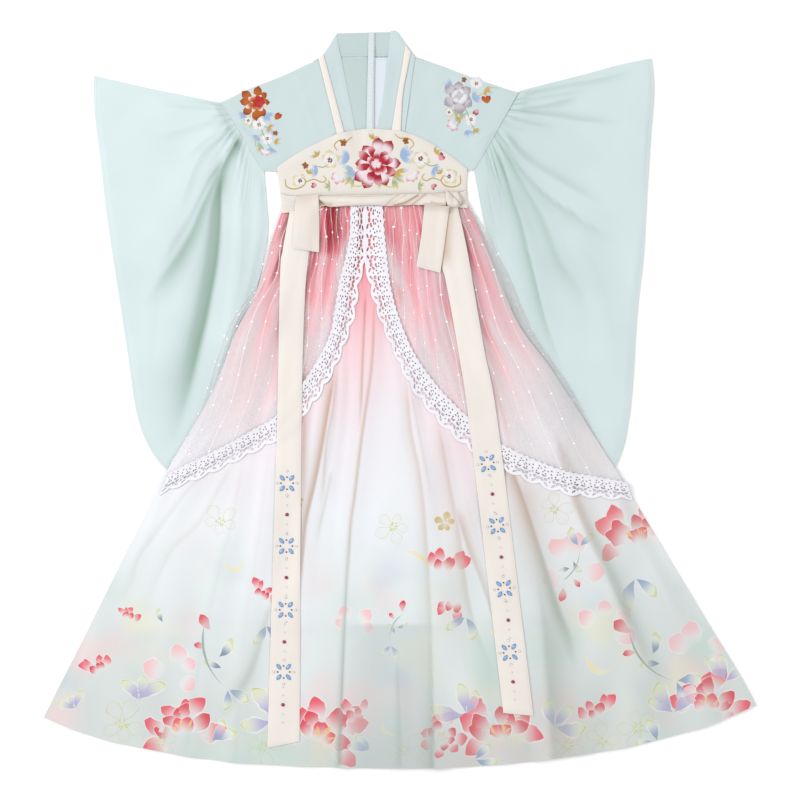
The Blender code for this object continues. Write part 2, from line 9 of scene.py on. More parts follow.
import bpy
import numpy as np
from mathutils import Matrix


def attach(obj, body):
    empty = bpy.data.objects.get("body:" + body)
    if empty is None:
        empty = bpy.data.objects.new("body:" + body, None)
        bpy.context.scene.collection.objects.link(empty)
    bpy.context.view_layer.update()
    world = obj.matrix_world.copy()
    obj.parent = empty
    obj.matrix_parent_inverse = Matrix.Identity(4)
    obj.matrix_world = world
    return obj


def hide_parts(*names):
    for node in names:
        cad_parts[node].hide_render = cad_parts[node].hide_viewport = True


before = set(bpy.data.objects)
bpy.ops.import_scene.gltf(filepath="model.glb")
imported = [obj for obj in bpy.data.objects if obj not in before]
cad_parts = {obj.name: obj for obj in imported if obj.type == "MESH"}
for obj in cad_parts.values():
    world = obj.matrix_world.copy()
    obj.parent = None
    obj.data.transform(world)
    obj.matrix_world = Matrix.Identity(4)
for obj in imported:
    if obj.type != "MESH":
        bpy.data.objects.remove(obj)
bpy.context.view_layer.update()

MM = 0.001

# Cloth thicknesses as they look from the side
SHEER, FINE, FIRM = 0.5, 0.7, 1.4
# The air between two pieces that lie on each other, and between two edges that meet
GAP, SEAM = 0.3, 0.4
# How far the fronts of the bodice run out over the sleeves
OVERLAP = 1.8
# The back of the bodice stops short of the armhole, so that the front comes down to the sleeve there
TURNED = 7.0
# How far the fronts run in under the collar
TUCKED_IN = 4.0
# How fast a fold's shade starts at its line
SHARP = 2.4

# ---------------------------------------------------------------- outlines: points (x, y)
ARMHOLE_LEFT = [(-261, 434), (-241, 405), (-219, 370), (-199, 335)]
ARMHOLE_RIGHT = [(171, 449), (150, 411), (128, 372), (108, 338)]
SHOULDER_LEFT = [(-261, 434), (-218, 455), (-174, 472), (-136, 490), (-115, 500)]
SHOULDER_RIGHT = [(22, 501), (55, 490), (102, 472), (152, 455), (171, 449)]
COLLAR_SEAM_LEFT = [(-115, 500), (-101, 445), (-86, 388), (-80, 361)]
COLLAR_SEAM_RIGHT = [(22, 501), (7, 392), (4, 361)]
BAND_SEAM = [(-175, 301), (-146, 298), (-42, 300), (58, 298), (97, 306)]
WAIST = [(-172, 271), (-102, 274), (0, 277), (99, 278)]
CENTRE_BACK = [(-43, 501), (-43, 341)]
BODICE_BOTTOM_LEFT = [(-199, 335), (-178, 334), (-146, 343), (-80, 361)]
BODICE_BOTTOM_RIGHT = [(4, 361), (58, 345), (96, 335), (108, 338)]
COLLAR_INNER_LEFT = [(-93, 533), (-85, 494), (-65, 394), (-58, 362)]
COLLAR_INNER_RIGHT = [(-14, 539), (-18, 499), (-23, 447), (-32, 397), (-38, 362)]
COLLAR_TOP_RIGHT = [(-14, 539), (-5, 539), (8, 521), (22, 501)]
BAND_TOP = [(-180, 340), (-152, 359), (-120, 376), (-92, 388), (-66, 394), (-42, 396), (-12, 394),
            (7, 391), (36, 380), (69, 360), (98, 338)]
SLEEVE_LEFT = {
    "top": [(-261, 434), (-276, 437), (-365, 455), (-448, 474)],
    "inner": [(-199, 335), (-195, 284), (-194, 240), (-210, 160), (-234, 80), (-260, -8), (-283, -74),
              (-307, -114)],
    "mouth": [(-448, 474), (-447, 423), (-439, 357), (-428, 262), (-412, 157), (-396, 52), (-388, -5),
              (-378, -44), (-361, -79), (-339, -104), (-307, -114)],
}
SLEEVE_RIGHT = {
    "top": [(171, 449), (185, 454), (256, 472), (324, 490), (368, 499)],
    "inner": [(108, 338), (117, 291), (127, 245), (153, 167), (178, 94), (212, 14), (245, -59),
              (277, -117)],
    "mouth": [(368, 499), (371, 452), (366, 385), (362, 321), (356, 218), (347, 131), (339, 14),
              (333, -37), (324, -77), (308, -106), (277, -117)],
}
# Lines that fan out over a sleeve: (share of the armhole, share of the mouth)
SLEEVE_FAN_LEFT = [(0.0, 0.0), (0.2, 0.17), (0.42, 0.50), (0.58, 0.84), (0.8, 0.94), (1.0, 1.0)]
SLEEVE_FAN_RIGHT = [(0.0, 0.0), (0.1, 0.03), (0.25, 0.15), (0.46, 0.43), (0.66, 0.90), (1.0, 1.0)]
SKIRT = {
    "left": [(-172, 271), (-187, 233), (-199, 189), (-215, 145), (-239, 100), (-257, 53), (-273, 14),
             (-302, -39), (-343, -109), (-394, -211), (-456, -336), (-499, -421), (-521, -465)],
    "right": [(99, 278), (112, 255), (127, 220), (145, 172), (165, 126), (184, 93), (216, 52), (256, -9),
              (288, -60), (328, -123), (381, -211), (444, -316), (498, -404), (521, -447)],
    "hem": [(-521, -465), (-454, -491), (-380, -509), (-276, -526), (-146, -536), (0, -539), (117, -536),
            (219, -526), (330, -509), (402, -491), (458, -474), (521, -447)],
}
OVERSKIRT = {
    "left": [(-173, 271), (-181, 259), (-193, 233), (-210, 170), (-247, 116), (-269, 61), (-285, 8),
             (-303, -39), (-333, -91), (-352, -130)],
    "right": [(100, 278), (111, 270), (128, 245), (146, 210), (164, 172), (181, 129), (201, 88),
              (220, 61), (254, 11), (289, -56), (338, -136)],
    "back_hem": [(-352, -130), (-200, -150), (0, -160), (200, -155), (338, -136)],
    "open_left": [(-62, 275), (-63, 240), (-67, 200), (-78, 160), (-84, 119), (-98, 76), (-125, 40),
                  (-158, -6), (-198, -48), (-239, -68), (-290, -96), (-352, -130)],
    "open_right": [(-38, 276), (-35, 240), (-30, 180), (-16, 125), (5, 74), (35, 21), (68, -24),
                   (103, -50), (150, -78), (197, -105), (260, -122), (338, -136)],
}
# How far down the skirt its lining reaches
LINING_SHARE = 0.74
LACE_LEFT = {
    "straight": [(-73, 274), (-74, 242), (-80, 210), (-90, 170), (-95, 138), (-102, 99), (-120, 61),
                 (-146, 20), (-179, -21), (-215, -43), (-259, -68), (-304, -90), (-337, -106)],
    "scallop": [(-52, 274), (-52, 240), (-53, 200), (-60, 166), (-66, 125), (-80, 83), (-99, 38),
                (-131, -12), (-176, -56), (-210, -75), (-244, -92), (-284, -111), (-317, -124),
                (-352, -139)],
}
LACE_RIGHT = {
    "straight": [(-25, 275), (-21, 234), (-13, 166), (1, 115), (22, 67), (54, 22), (86, -12), (101, -25),
                 (131, -53), (158, -69), (197, -87), (245, -104), (295, -113), (331, -120)],
    "scallop": [(-50, 275), (-51, 240), (-50, 200), (-44, 166), (-33, 128), (-15, 83), (14, 22), (36, -8),
                (60, -36), (104, -74), (160, -106), (200, -124), (245, -138), (295, -144), (340, -146)],
}
STRIPS = {
    "strap_left": {"left": [(-119, 498), (-104, 437), (-92, 388), (-88, 372)],
                   "right": [(-112, 505), (-94, 438), (-81, 388), (-77, 372)]},
    "strap_right": {"left": [(8, 519), (3, 486), (-5, 440), (-12, 394), (-15, 378)],
                    "right": [(16, 508), (11, 484), (4, 445), (1, 394), (0, 378)]},
    "tie_left": {"left": [(-161, 275), (-171, 218), (-175, 178), (-180, -44), (-194, -509)],
                 "right": [(-129, 275), (-133, 215), (-139, 147), (-144, -44), (-147, -500)]},
    "tie_right": {"left": [(66, 286), (62, 233), (62, 192), (67, 172), (85, 72), (102, -44), (151, -458)],
                  "right": [(83, 286), (96, 228), (108, 160), (123, 72), (144, -44), (195, -462)]},
    "tail_left": {"left": [(-152, 297), (-155, 258), (-156, 220)],
                  "right": [(-119, 300), (-118, 258), (-118, 215)]},
    "tail_right": {"left": [(36, 286), (31, 240), (24, 194)],
                   "right": [(72, 281), (66, 235), (59, 185)]},
    "sash_knot": {"left": [(67, 305), (67, 292), (70, 280)],
                  "right": [(85, 304), (91, 292), (86, 281)]},
}
SASH = {
    "top": [(-118, 297), (-84, 296.5), (-52, 295.8), (-24, 297), (-4, 299), (20, 300.5), (40, 300.6),
            (67, 302)],
    "low": [(-118, 292), (-112, 287), (-102, 281.4), (-78, 282.4), (-40, 283.4), (-14, 282.4), (8, 283.6),
            (36, 284), (67, 283)],
}
WAISTBAND_LOW = [(-172, 272.5), (-140, 275), (-120, 278.6), (-108, 283), (-60, 284.8), (0, 285.4),
                 (50, 285.4), (72, 284), (84, 281), (99, 279.5)]
QUADS = {
    "collar_back": [(-92, 536), (-5, 538), (20, 502), (-113, 502)],
    "back_lining": [(-39, 500), (-16, 500), (-28, 362), (-42, 362)],
    "back_zip": [(-46, 537), (-37, 537), (-38, 362), (-50, 362)],
    "chest_band_back": [(-178, 332), (97, 332), (99, 278.4), (-172, 271.4)],
}

# ---------------------------------------------------------------- creases placed one by one
# (points, soft width to the left of the line, width to its right, height, darkness of the steeper side,
#  width of that shade, and True where the end runs out through an edge)
SLEEVE_CREASES_LEFT = [
    ([(-233, 386), (-243, 368), (-254, 349), (-262, 328), (-267, 300), (-268, 270)], 5, 12, 2.0, 0.80, 9),
    ([(-244, 366), (-256, 345), (-262, 320), (-264, 281), (-266, 241), (-270, 201), (-278, 158),
      (-286, 118), (-296, 78), (-306, 38), (-317, -2), (-332, -50), (-346, -90)], 12, 7, 0.0, 0.88, 19),
    ([(-256, 338), (-276, 290), (-284, 230), (-294, 170), (-312, 90), (-330, 10)], 9, 30, 5.0, 0.0, 8),
    ([(-232, 330), (-236, 262), (-240, 190), (-250, 100), (-270, 0)], 14, 8, 2.4, 0.0, 8),
    ([(-236, 372), (-247, 358), (-262, 334), (-287, 282), (-300, 249), (-322, 209), (-357, 158),
      (-376, 118)], 8, 10, 0.0, 0.66, 13),
    ([(-258, 356), (-284, 318), (-306, 274), (-334, 228), (-366, 172)], 5, 30, 4.0, 0.0, 6),
    ([(-252, 414), (-289, 402), (-330, 390), (-371, 380)], 6, 18, 1.0, 0.10, 5),
    ([(-240, 396), (-279, 369), (-298, 340), (-316, 291), (-328, 262)], 7, 24, 1.6, 0.18, 7),
    ([(-258, 424), (-300, 426), (-360, 432)], 14, 5, 1.2, 0.10, 5),
    ([(-244, 402), (-262, 392), (-292, 372), (-320, 346)], 5, 12, 1.0, 0.12, 5),
    ([(-232, 384), (-246, 372), (-262, 352)], 3, 8, 1.6, 0.22, 4),
    ([(-222, 368), (-210, 352), (-200, 342)], 3, 7, 1.4, 0.14, 4),
    ([(-224, 366), (-231, 332), (-231, 260), (-232, 189), (-250, 90)], 14, 6, 1.2, 0.06, 7),
    ([(-206, 330), (-206, 270), (-214, 200), (-232, 110)], 9, 6, 1.0, 0.06, 6),
    ([(-320, 260), (-352, 160), (-362, 60), (-358, -20)], 26, 22, 2.6, 0.06, 16),
    ([(-246, 400), (-300, 350), (-350, 262), (-392, 168)], 30, 24, 2.0, 0.0, 14),
]
SLEEVE_CREASES_RIGHT = [
    ([(169, 445), (231, 457), (302, 470), (353, 486)], 10, 5, 1.8, 0.20, 5),
    ([(169, 436), (225, 445), (290, 456)], 8, 5, 1.4, 0.16, 4),
    ([(167, 424), (210, 429), (272, 445)], 10, 5, 2.0, 0.26, 5),
    ([(163, 422), (220, 416), (272, 408), (333, 402)], 6, 16, 2.4, 0.26, 7),
    ([(155, 410), (185, 404), (230, 396)], 5, 10, 1.6, 0.16, 5),
    ([(147, 398), (164, 373), (190, 348), (231, 322), (266, 302), (310, 276)], 7, 20, 3.2, 0.20, 8),
    ([(143, 388), (159, 358), (190, 320), (220, 293), (258, 268), (282, 251), (329, 227)],
      18, 6, 3.6, 0.32, 10),
    ([(137, 381), (149, 343), (161, 302), (175, 261), (185, 219), (196, 175), (213, 109), (244, 23)],
      16, 6, 4.0, 0.50, 10),
    ([(148, 378), (169, 332), (185, 302), (202, 271), (215, 240), (231, 199), (258, 159), (272, 109)],
      20, 9, 4.0, 0.32, 16),
    ([(127, 363), (131, 291), (145, 200)], 10, 7, 1.6, 0.12, 8),
    ([(133, 374), (140, 340), (152, 262)], 8, 5, 1.6, 0.22, 5),
    ([(140, 392), (148, 372), (154, 344)], 4, 5, 1.4, 0.24, 4),
    ([(160, 412), (200, 396), (260, 372), (330, 352)], 26, 18, 2.2, 0.0, 12),
    ([(250, 250), (290, 180), (312, 90), (318, 0)], 24, 20, 2.4, 0.05, 14),
]
SKIRT_CREASES = [
    # The fold along the left tie, with its wedge of painted shade
    ([(-92, 60), (-96, 37), (-105, -16), (-114, -69), (-124, -120), (-137, -176), (-142, -224),
      (-149, -307), (-156, -400)], 18, 8, 3.0, 1.0, 9),
    ([(-91, 50), (-93, 32), (-99, -20), (-107, -60), (-112, -130), (-118, -190)], 16, 5, 1.6, 0.45, 4),
    # Between the laces
    ([(-50, 160), (-51, 138), (-53, 90), (-55, 37), (-57, -14), (-62, -70)], 8, 4, 1.2, 0.80, 3),
    ([(-36, 170), (-38, 138), (-41, 52), (-55, -49), (-66, -140), (-72, -185), (-81, -330), (-88, -533)],
      16, 5, 2.4, 0.75, 4, True),
    ([(4, 60), (10, 13), (16, -49), (27, -100), (36, -180), (44, -328), (48, -533)],
      24, 5, 4.0, 0.50, 10, True),
    ([(14, 20), (26, -40), (36, -90), (50, -160)], 10, 5, 1.0, 0.25, 4),
    ([(50, -20), (58, -49), (66, -90), (73, -129), (84, -185), (99, -291), (116, -350), (135, -398),
      (146, -440)], 20, 10, 3.0, 0.42, 11),
    # Painted shade beside the right tie, on both its sides
    ([(80, -150), (98, -210), (118, -262), (134, -310), (145, -355), (152, -400)], 8, 12, 0.0, 0.50, 10),
    ([(152, -70), (166, -110), (180, -147), (192, -184), (208, -236), (220, -276), (232, -314),
      (246, -351), (262, -430)], 18, 10, 3.0, 0.85, 16),
    ([(172, -100), (188, -180), (200, -250), (210, -320), (218, -400), (224, -470), (228, -526)],
      26, 27, 0.0, 0.45, 27, True),
    # The big fold on the right
    ([(224, -40), (236, -90), (253, -142), (277, -198), (306, -256), (330, -312), (356, -370),
      (384, -412), (402, -452)], 7, 18, 4.5, 0.60, 20),
    ([(300, -110), (350, -200), (400, -290), (450, -380)], 10, 22, 2.4, 0.15, 20),
    ([(-262, -80), (-290, -112), (-312, -135), (-350, -186), (-383, -234), (-394, -270), (-430, -320)],
      26, 12, 3.0, 0.24, 12),
    ([(-240, -90), (-254, -112), (-295, -183), (-336, -224), (-380, -322)], 24, 12, 3.0, 0.20, 12),
    ([(-225, -70), (-234, -117), (-247, -187), (-260, -234), (-292, -380), (-310, -505)],
      22, 12, 3.0, 0.12, 12, True),
    ([(-186, -290), (-200, -340), (-219, -398), (-245, -440), (-276, -484)], 16, 12, 3.0, 0.50, 13),
    ([(90, -120), (120, -230), (160, -360), (190, -500)], 22, 14, 3.0, 0.12, 12, True),
    ([(-4, -380), (-2, -450), (0, -533)], 14, 9, 2.0, 0.30, 5, True),
    ([(-190, -60), (-206, -200), (-226, -340), (-240, -520)], 20, 12, 3.0, 0.10, 10, True),
    ([(-99, -100), (-107, -140), (-117, -185), (-124, -220)], 8, 5, 1.0, 0.40, 4),
    # Painted shade of the deep hollows beside the left tail, and of the soft ones along the ties
    ([(-107, 300), (-107, 278), (-106, 250), (-106, 222), (-106, 190)], 5, 8, 0.0, 1.0, 12),
    ([(-101, 300), (-100, 276), (-99, 240), (-101, 196)], 4, 5, 0.0, 1.0, 12),
    ([(-94, 300), (-92, 276), (-92, 244), (-96, 206)], 4, 5, 0.0, 0.95, 8),
    ([(-62, 290), (-62, 250), (-66, 205), (-72, 170)], 4, 6, 0.0, 0.45, 6),
    ([(-15, 270), (-12, 230), (-6, 180), (2, 140), (14, 100)], 5, 7, 0.0, 0.30, 6),
    ([(-114, 262), (-120, 226), (-128, 196), (-137, 150), (-141, -44), (-144, -300)], 3, 6, 0.0, 0.80, 7),
    ([(-118, 246), (-124, 214), (-132, 184), (-138, 150), (-142, 112)], 3, 5, 0.0, 0.75, 6),
    ([(-122, 216), (-132, 178), (-140, 120), (-146, 60)], 3, 6, 0.0, 0.55, 4),
    ([(58, 252), (62, 200), (66, 150), (74, 87), (84, 14)], 10, 6, 0.0, 0.80, 9),
    ([(40, 270), (46, 220), (52, 170)], 5, 6, 0.0, 0.55, 6),
    ([(62, 172), (70, 110), (84, 50), (100, -10)], 6, 5, 0.0, 0.50, 6),
    ([(88, 280), (106, 183), (132, 60), (159, -64), (172, -116)], 6, 10, 0.0, 0.60, 8),
    ([(-166, 268), (-176, 200), (-182, 60), (-186, -60)], 8, 5, 0.0, 0.30, 6),
    ([(-160, 262), (-170, 210), (-190, 140), (-206, 90)], 5, 7, 0.0, 0.30, 5),
    ([(-158, 280), (-163, 268), (-171, 249), (-182, 224)], 3, 5, 0.0, 1.0, 4),
    ([(-170, 224), (-175, 210), (-183, 189), (-193, 160)], 3, 5, 0.0, 1.0, 4),
]
OVERSKIRT_CREASES_LEFT = [
    ([(-160, 262), (-190, 190), (-222, 100), (-262, 10), (-310, -80)], 12, 6, 1.6, 0.0, 4, True),
    ([(-150, 262), (-172, 180), (-200, 80), (-240, -20), (-270, -84)], 12, 6, 1.6, 0.0, 4, True),
    ([(-110, 262), (-114, 190), (-124, 110), (-150, 20)], 10, 5, 1.2, 0.0, 4, True),
    ([(-84, 262), (-88, 190), (-98, 110)], 8, 4, 1.0, 0.0, 3, True),
]
OVERSKIRT_CREASES_RIGHT = [
    ([(94, 262), (122, 190), (160, 100), (206, 10), (262, -90)], 6, 12, 1.6, 0.0, 4, True),
    ([(104, 262), (136, 190), (176, 110), (232, 14), (300, -100)], 6, 10, 1.4, 0.0, 4, True),
    ([(20, 264), (28, 190), (46, 110), (84, 10)], 5, 12, 1.2, 0.0, 4, True),
    ([(-10, 264), (-4, 190), (14, 110), (50, 30)], 5, 10, 1.0, 0.0, 4, True),
    ([(82, 262), (98, 180), (130, 60), (180, -60)], 6, 14, 1.6, 0.0, 5, True),
]
SASH_TWISTS = [
    ([(-118, 291), (-110, 286), (-100, 283)], 2, 5, -1.6, 0.45, 3, True),
    ([(-104, 284), (-84, 287), (-60, 286)], 4, 2, -1.0, 0.22, 2),
    ([(2, 300), (-4, 298), (-12, 292), (-21, 284)], 3, 5, -1.8, 0.40, 2.4, True),
    ([(12, 300), (4, 296), (-6, 290), (-12, 285)], 3, 4, -1.4, 0.30, 2, True),
    ([(30, 301), (24, 297), (14, 291), (6, 287), (-8, 284)], 3, 5, -2.8, 0.95, 2.8, True),
    ([(40, 301), (34, 298), (26, 291), (18, 285)], 3, 4, -2.2, 0.70, 2.4, True),
    ([(44, 288), (54, 286), (66, 286)], 4, 2, -1.4, 0.45, 2.2, True),
    ([(46, 300), (58, 297), (68, 292)], 2, 4, -1.0, 0.30, 2),
]
BODICE_CREASES = [
    ([(-250, 408), (-225, 392), (-205, 372)], 3, 9, 0.8, 0.10, 3),
    ([(-150, 480), (-128, 420), (-110, 375)], 14, 8, 0.9, 0.05, 6),
    ([(150, 396), (126, 384), (100, 360)], 9, 4, 0.8, 0.10, 3),
]


# ---------------------------------------------------------------- lines and patches
def curve(points, shares):
    """Points at the given shares of the length of a smooth line through a table's points. Between two of
    them it is the cubic whose slope at each is half the step from the one before to the one after."""
    table = np.array(points, float)
    if len(table) > 2:
        steps = np.linspace(0, 1, 17)[:-1, None]
        padded = np.vstack([2 * table[0] - table[1], table, 2 * table[-1] - table[-2]])
        a, b, c, d = (padded[i:len(padded) - 3 + i, None] for i in range(4))
        runs = 0.5 * (2 * b + (c - a) * steps + (2 * a - 5 * b + 4 * c - d) * steps ** 2
                      + (3 * b - a - 3 * c + d) * steps ** 3)
        table = np.vstack([runs.reshape(-1, 2), table[-1:]])
    length = np.concatenate([[0], np.cumsum(np.linalg.norm(np.diff(table, axis=0), axis=1))])
    at = np.asarray(shares) * length[-1]
    return np.stack([np.interp(at, length, table[:, 0]), np.interp(at, length, table[:, 1])], axis=-1)


def patch(top, bottom, left, right, across, down):
    """Points between four edges: the straight blend of top and bottom, plus that of left and right, less
    that of the four corners."""
    u = np.asarray(across)[None, :, None]
    v = np.asarray(down)[:, None, None]
    corners = ((1 - u) * (1 - v) * top[0] + u * (1 - v) * top[-1]
               + (1 - u) * v * bottom[0] + u * v * bottom[-1])
    return (1 - v) * top[None] + v * bottom[None] + (1 - u) * left[:, None] + u * right[:, None] - corners


def panel(top, bottom, left, right, spacing=4.0):
    """A patch of even rows and columns, no wider than the spacing, from four tables of points."""
    span = max(np.abs(np.diff(np.array(e, float), axis=0)).sum() for e in (top, bottom))
    fall = max(np.abs(np.diff(np.array(e, float), axis=0)).sum() for e in (left, right))
    across = np.linspace(0, 1, 2 + int(span / spacing))
    down = np.linspace(0, 1, 2 + int(fall / spacing))
    return patch(curve(top, across), curve(bottom, across), curve(left, down), curve(right, down),
                 across, down)


def strip(edges, spacing=3.0):
    """A strip between a left and a right edge."""
    left, right = edges["left"], edges["right"]
    return panel([left[0], right[0]], [left[-1], right[-1]], left, right, spacing)


def quad(corners, spacing=4.0):
    """A four-sided piece with straight edges."""
    top_left, top_right, low_right, low_left = corners
    return panel([top_left, top_right], [low_left, low_right], [top_left, low_left],
                 [top_right, low_right], spacing)


def moved(points, x=0.0, y=0.0):
    """The same points, moved aside to leave a seam."""
    return [(px + x, py + y) for px, py in points]


def smooth(x):
    """The soft step 3x² - 2x³ from 0 to 1."""
    x = np.clip(x, 0, 1)
    return x * x * (3 - 2 * x)


def hill(x, middle, width, power=2):
    """exp(-((x - middle) / width)^power): 1 at the middle, dying away over the width."""
    return np.exp(-((x - middle) / width) ** power)


def wobble(u, v, seed, pitch):
    """Uneven swells of height about -1 to 1: four sine waves in seeded directions, over 2.4."""
    turn = np.random.default_rng(seed).uniform(0, 2 * math.pi, (4, 2))
    waves = [np.sin((u * math.cos(a) + v * math.sin(a)) * 2 * math.pi / pitch * (1 + 0.35 * i) + b)
             for i, (a, b) in enumerate(turn)]
    return sum(waves) / 2.4


# ---------------------------------------------------------------- gathers and creases
def gathers(u, v, count, height, reach, seed=0.0, where=1.0):
    """Relief and shade of a gathered edge at v = 0. The relief is height times the raised cosine of an
    uneven phase in u, fading by v = reach; the shade is the cube of what the wave lacks. Where tells
    how strong they are along the edge."""
    phase = (count * u + 0.35 * np.sin(5.3 * math.pi * u + 1.0 + seed)
             + 0.2 * np.sin(11 * math.pi * u + seed) + 0.10 * np.sin(9 * v + 7 * u + seed))
    wave = 0.5 - 0.5 * np.cos(2 * math.pi * phase)
    rise = 0.35 + 0.65 * smooth(v / 0.05)
    fade = 1 - smooth((v - 0.04) / (reach * (0.75 + 0.25 * np.sin(7 * math.pi * u + seed))))
    return height * wave * rise * fade * where, (1 - wave) ** 3 * fade * where


def creases(plan, table):
    """Relief and shade of creases drawn on the cloth. Across each line the relief is height times
    exp(-(d / width)²), with its own width on either side. The shade starts at the line, sharply near its
    head, and dies away as exp(-(d / width)^1.3) on the steeper side. Along the line both swell from
    nothing over the first eighth and die away over the last two fifths, and broad creases grow
    wider and softer as they go."""
    relief = np.zeros(plan.shape[:2])
    shade = np.zeros(plan.shape[:2])
    for points, left, right, height, dark, dark_width, *runs_out in table:
        line = curve(points, np.linspace(0, 1, 4 * len(points)))
        margin = 3 * max(left, right, dark_width)
        near = np.all((plan > line.min(axis=0) - margin) & (plan < line.max(axis=0) + margin), axis=-1)
        place = plan[near]
        if not len(place):
            continue
        run = np.diff(line, axis=0)
        away = place[:, None] - line[None, :-1]
        part = np.clip((away * run).sum(axis=-1) / (run * run).sum(axis=-1), 0, 1)
        away = away - part[..., None] * run
        distance = np.linalg.norm(away, axis=-1)
        nearest = distance.argmin(axis=1)
        pick = np.arange(len(place)), nearest
        side = run[nearest, 0] * away[pick][:, 1] - run[nearest, 1] * away[pick][:, 0]
        along = (nearest + part[pick]) / len(run)
        body = smooth(along / 0.12)
        if not runs_out:
            body = body * smooth((1 - along) / 0.4)
        to_left = side > 0
        off = distance[pick] / (0.7 + 0.6 * along)
        sharp = SHARP * (1 + 2.5 * along) if dark_width > 12 else min(SHARP, dark_width / 2)
        relief[near] += height * body * hill(off, 0, np.where(to_left, left, right))
        steep = to_left if left <= right else ~to_left
        fade = np.where(steep, hill(off, 0, dark_width, 1.3), hill(distance[pick], 0, sharp))
        shade[near] = np.maximum(shade[near], dark * body * fade)
    return relief, shade


# ---------------------------------------------------------------- laying one piece on another
# How high the pieces laid so far reach, in square cells from a corner of the floor
CELL = 2.0
CORNER = np.array([-560.0, -580.0])
ground = np.zeros((581, 561))


def sample(field, plan):
    """The field's value at each point of a plan, blended between the four cells round it."""
    x, y = ((plan - CORNER) / CELL).transpose(2, 0, 1)
    column = np.clip(x.astype(int), 0, field.shape[1] - 2)
    row = np.clip(y.astype(int), 0, field.shape[0] - 2)
    x, y = x - column, y - row
    return ((field[row, column] * (1 - x) + field[row, column + 1] * x) * (1 - y)
            + (field[row + 1, column] * (1 - x) + field[row + 1, column + 1] * x) * y)


def resting(plan, reach=2):
    """Heights that clear all below: the highest of the cells within reach, then the mean of those
    highest values within the same reach, which is never less than the cell itself."""
    field = ground
    for pick in (np.max, np.mean):
        for axis in (0, 1):
            field = pick([np.roll(field, s, axis) for s in range(-reach, reach + 1)], axis=0)
    height = sample(field, plan)
    return height + GAP * smooth(height)


def finer(grid, spacing):
    """The grid with straight in-between points, no further apart than the spacing."""
    for axis in (0, 1):
        step = np.linalg.norm(np.diff(grid[..., :2], axis=axis), axis=-1).max()
        count = grid.shape[axis]
        at = np.linspace(0, count - 1, (count - 1) * math.ceil(step / spacing) + 1)
        low = np.minimum(at.astype(int), count - 2)
        part = (at - low).reshape((-1, 1, 1) if axis == 0 else (1, -1, 1))
        grid = np.take(grid, low, axis) * (1 - part) + np.take(grid, low + 1, axis) * part
    return grid


def press(top):
    """Raises the ground to a piece's upper face, so that what comes next lies on it."""
    x, y, z = finer(top, 0.8 * CELL).reshape(-1, 3).T
    column = np.rint((x - CORNER[0]) / CELL).astype(int)
    row = np.rint((y - CORNER[1]) / CELL).astype(int)
    np.maximum.at(ground, (row, column), z)


# ---------------------------------------------------------------- meshes
def grid_faces(rows, columns, kept=None, closed=False):
    """Four-sided faces between the points of a grid, leaving out cells that aren't kept. In a closed one
    the last column meets the first."""
    index = np.arange(rows * columns).reshape(rows, columns)
    if closed:
        index = np.pad(index, ((0, 0), (0, 1)), "wrap")
    faces = np.stack([index[:-1, :-1], index[1:, :-1], index[1:, 1:], index[:-1, 1:]], axis=-1)
    return faces.reshape(-1, 4) if kept is None else faces[kept]


def many_faces(count, rows, columns):
    """The faces of many grids, one after the other."""
    starts = (np.arange(count) * rows * columns)[:, None, None]
    return (grid_faces(rows, columns) + starts).reshape(-1, 4)


def up_faced(points, faces):
    """The faces, those that look down turned over."""
    a, b, c = (points[faces[:, i], :2] for i in (0, 1, 2))
    down = (b - a)[:, 0] * (c - a)[:, 1] - (b - a)[:, 1] * (c - a)[:, 0] < 0
    return np.where(down[:, None], faces[:, ::-1], faces)


def walled(upper, count):
    """The upper faces, the same ones turned over on the second set of points, and the rims between
    them: one from each edge that only one face has."""
    start, end = upper.ravel(), np.roll(upper, -1, axis=1).ravel()
    free = ~np.isin(start * count + end, end * count + start)
    a, b = start[free], end[free]
    return np.vstack([upper, upper[:, ::-1] + count, np.stack([b, a, a + count, b + count], axis=-1)])


def placed(name, data):
    """A new object in the scene."""
    made = bpy.data.objects.new(name, data)
    bpy.context.scene.collection.objects.link(made)
    return made


# By how many numbers a field has at each place
ATTRIBUTE_KINDS = {1: ("FLOAT", "value"), 3: ("FLOAT_VECTOR", "vector"), 4: ("FLOAT_COLOR", "color")}


def make_piece(name, points, faces, finish, fields, place, corner_fields=None, crisp=50):
    """A mesh from points in millimetres, turned so that its upper faces look up. Fields are stored on
    its points, corner fields on its face corners, and place becomes its UV map. Edges sharper than crisp
    degrees stay sharp."""
    # One of the upper faces, which come first
    a, b, c = points[faces[len(faces) // 9, :3]]
    if np.cross(b - a, c - a)[2] < 0:
        faces = faces[:, ::-1]
    used, faces = np.unique(faces, return_inverse=True)
    faces = faces.reshape(-1, 4)
    points = points[used]
    mesh = bpy.data.meshes.new(name)
    mesh.vertices.add(len(points))
    mesh.vertices.foreach_set("co", (points * MM).astype(np.float32).ravel())
    mesh.loops.add(faces.size)
    mesh.loops.foreach_set("vertex_index", faces.astype(np.int32).ravel())
    mesh.polygons.add(len(faces))
    mesh.polygons.foreach_set("loop_start", np.arange(0, faces.size, 4, dtype=np.int32))
    mesh.update(calc_edges=True)
    mesh.uv_layers.new(name="cloth_mm").data.foreach_set(
        "uv", place[used][faces].astype(np.float32).ravel())
    stored = [("POINT", field, values[used]) for field, values in fields.items()]
    if corner_fields:
        stored += [("CORNER", *pair) for pair in corner_fields(points[faces][..., :2]).items()]
    for domain, field, values in stored:
        kind, key = ATTRIBUTE_KINDS[1 if values.ndim == 1 else values.shape[-1]]
        mesh.attributes.new(field, kind, domain).data.foreach_set(key, values.astype(np.float32).ravel())
    mesh.shade_smooth()
    mesh.set_sharp_from_angle(angle=math.radians(crisp))
    mesh.materials.append(finish)
    piece = placed(name, mesh)
    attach(piece, "root")
    return piece


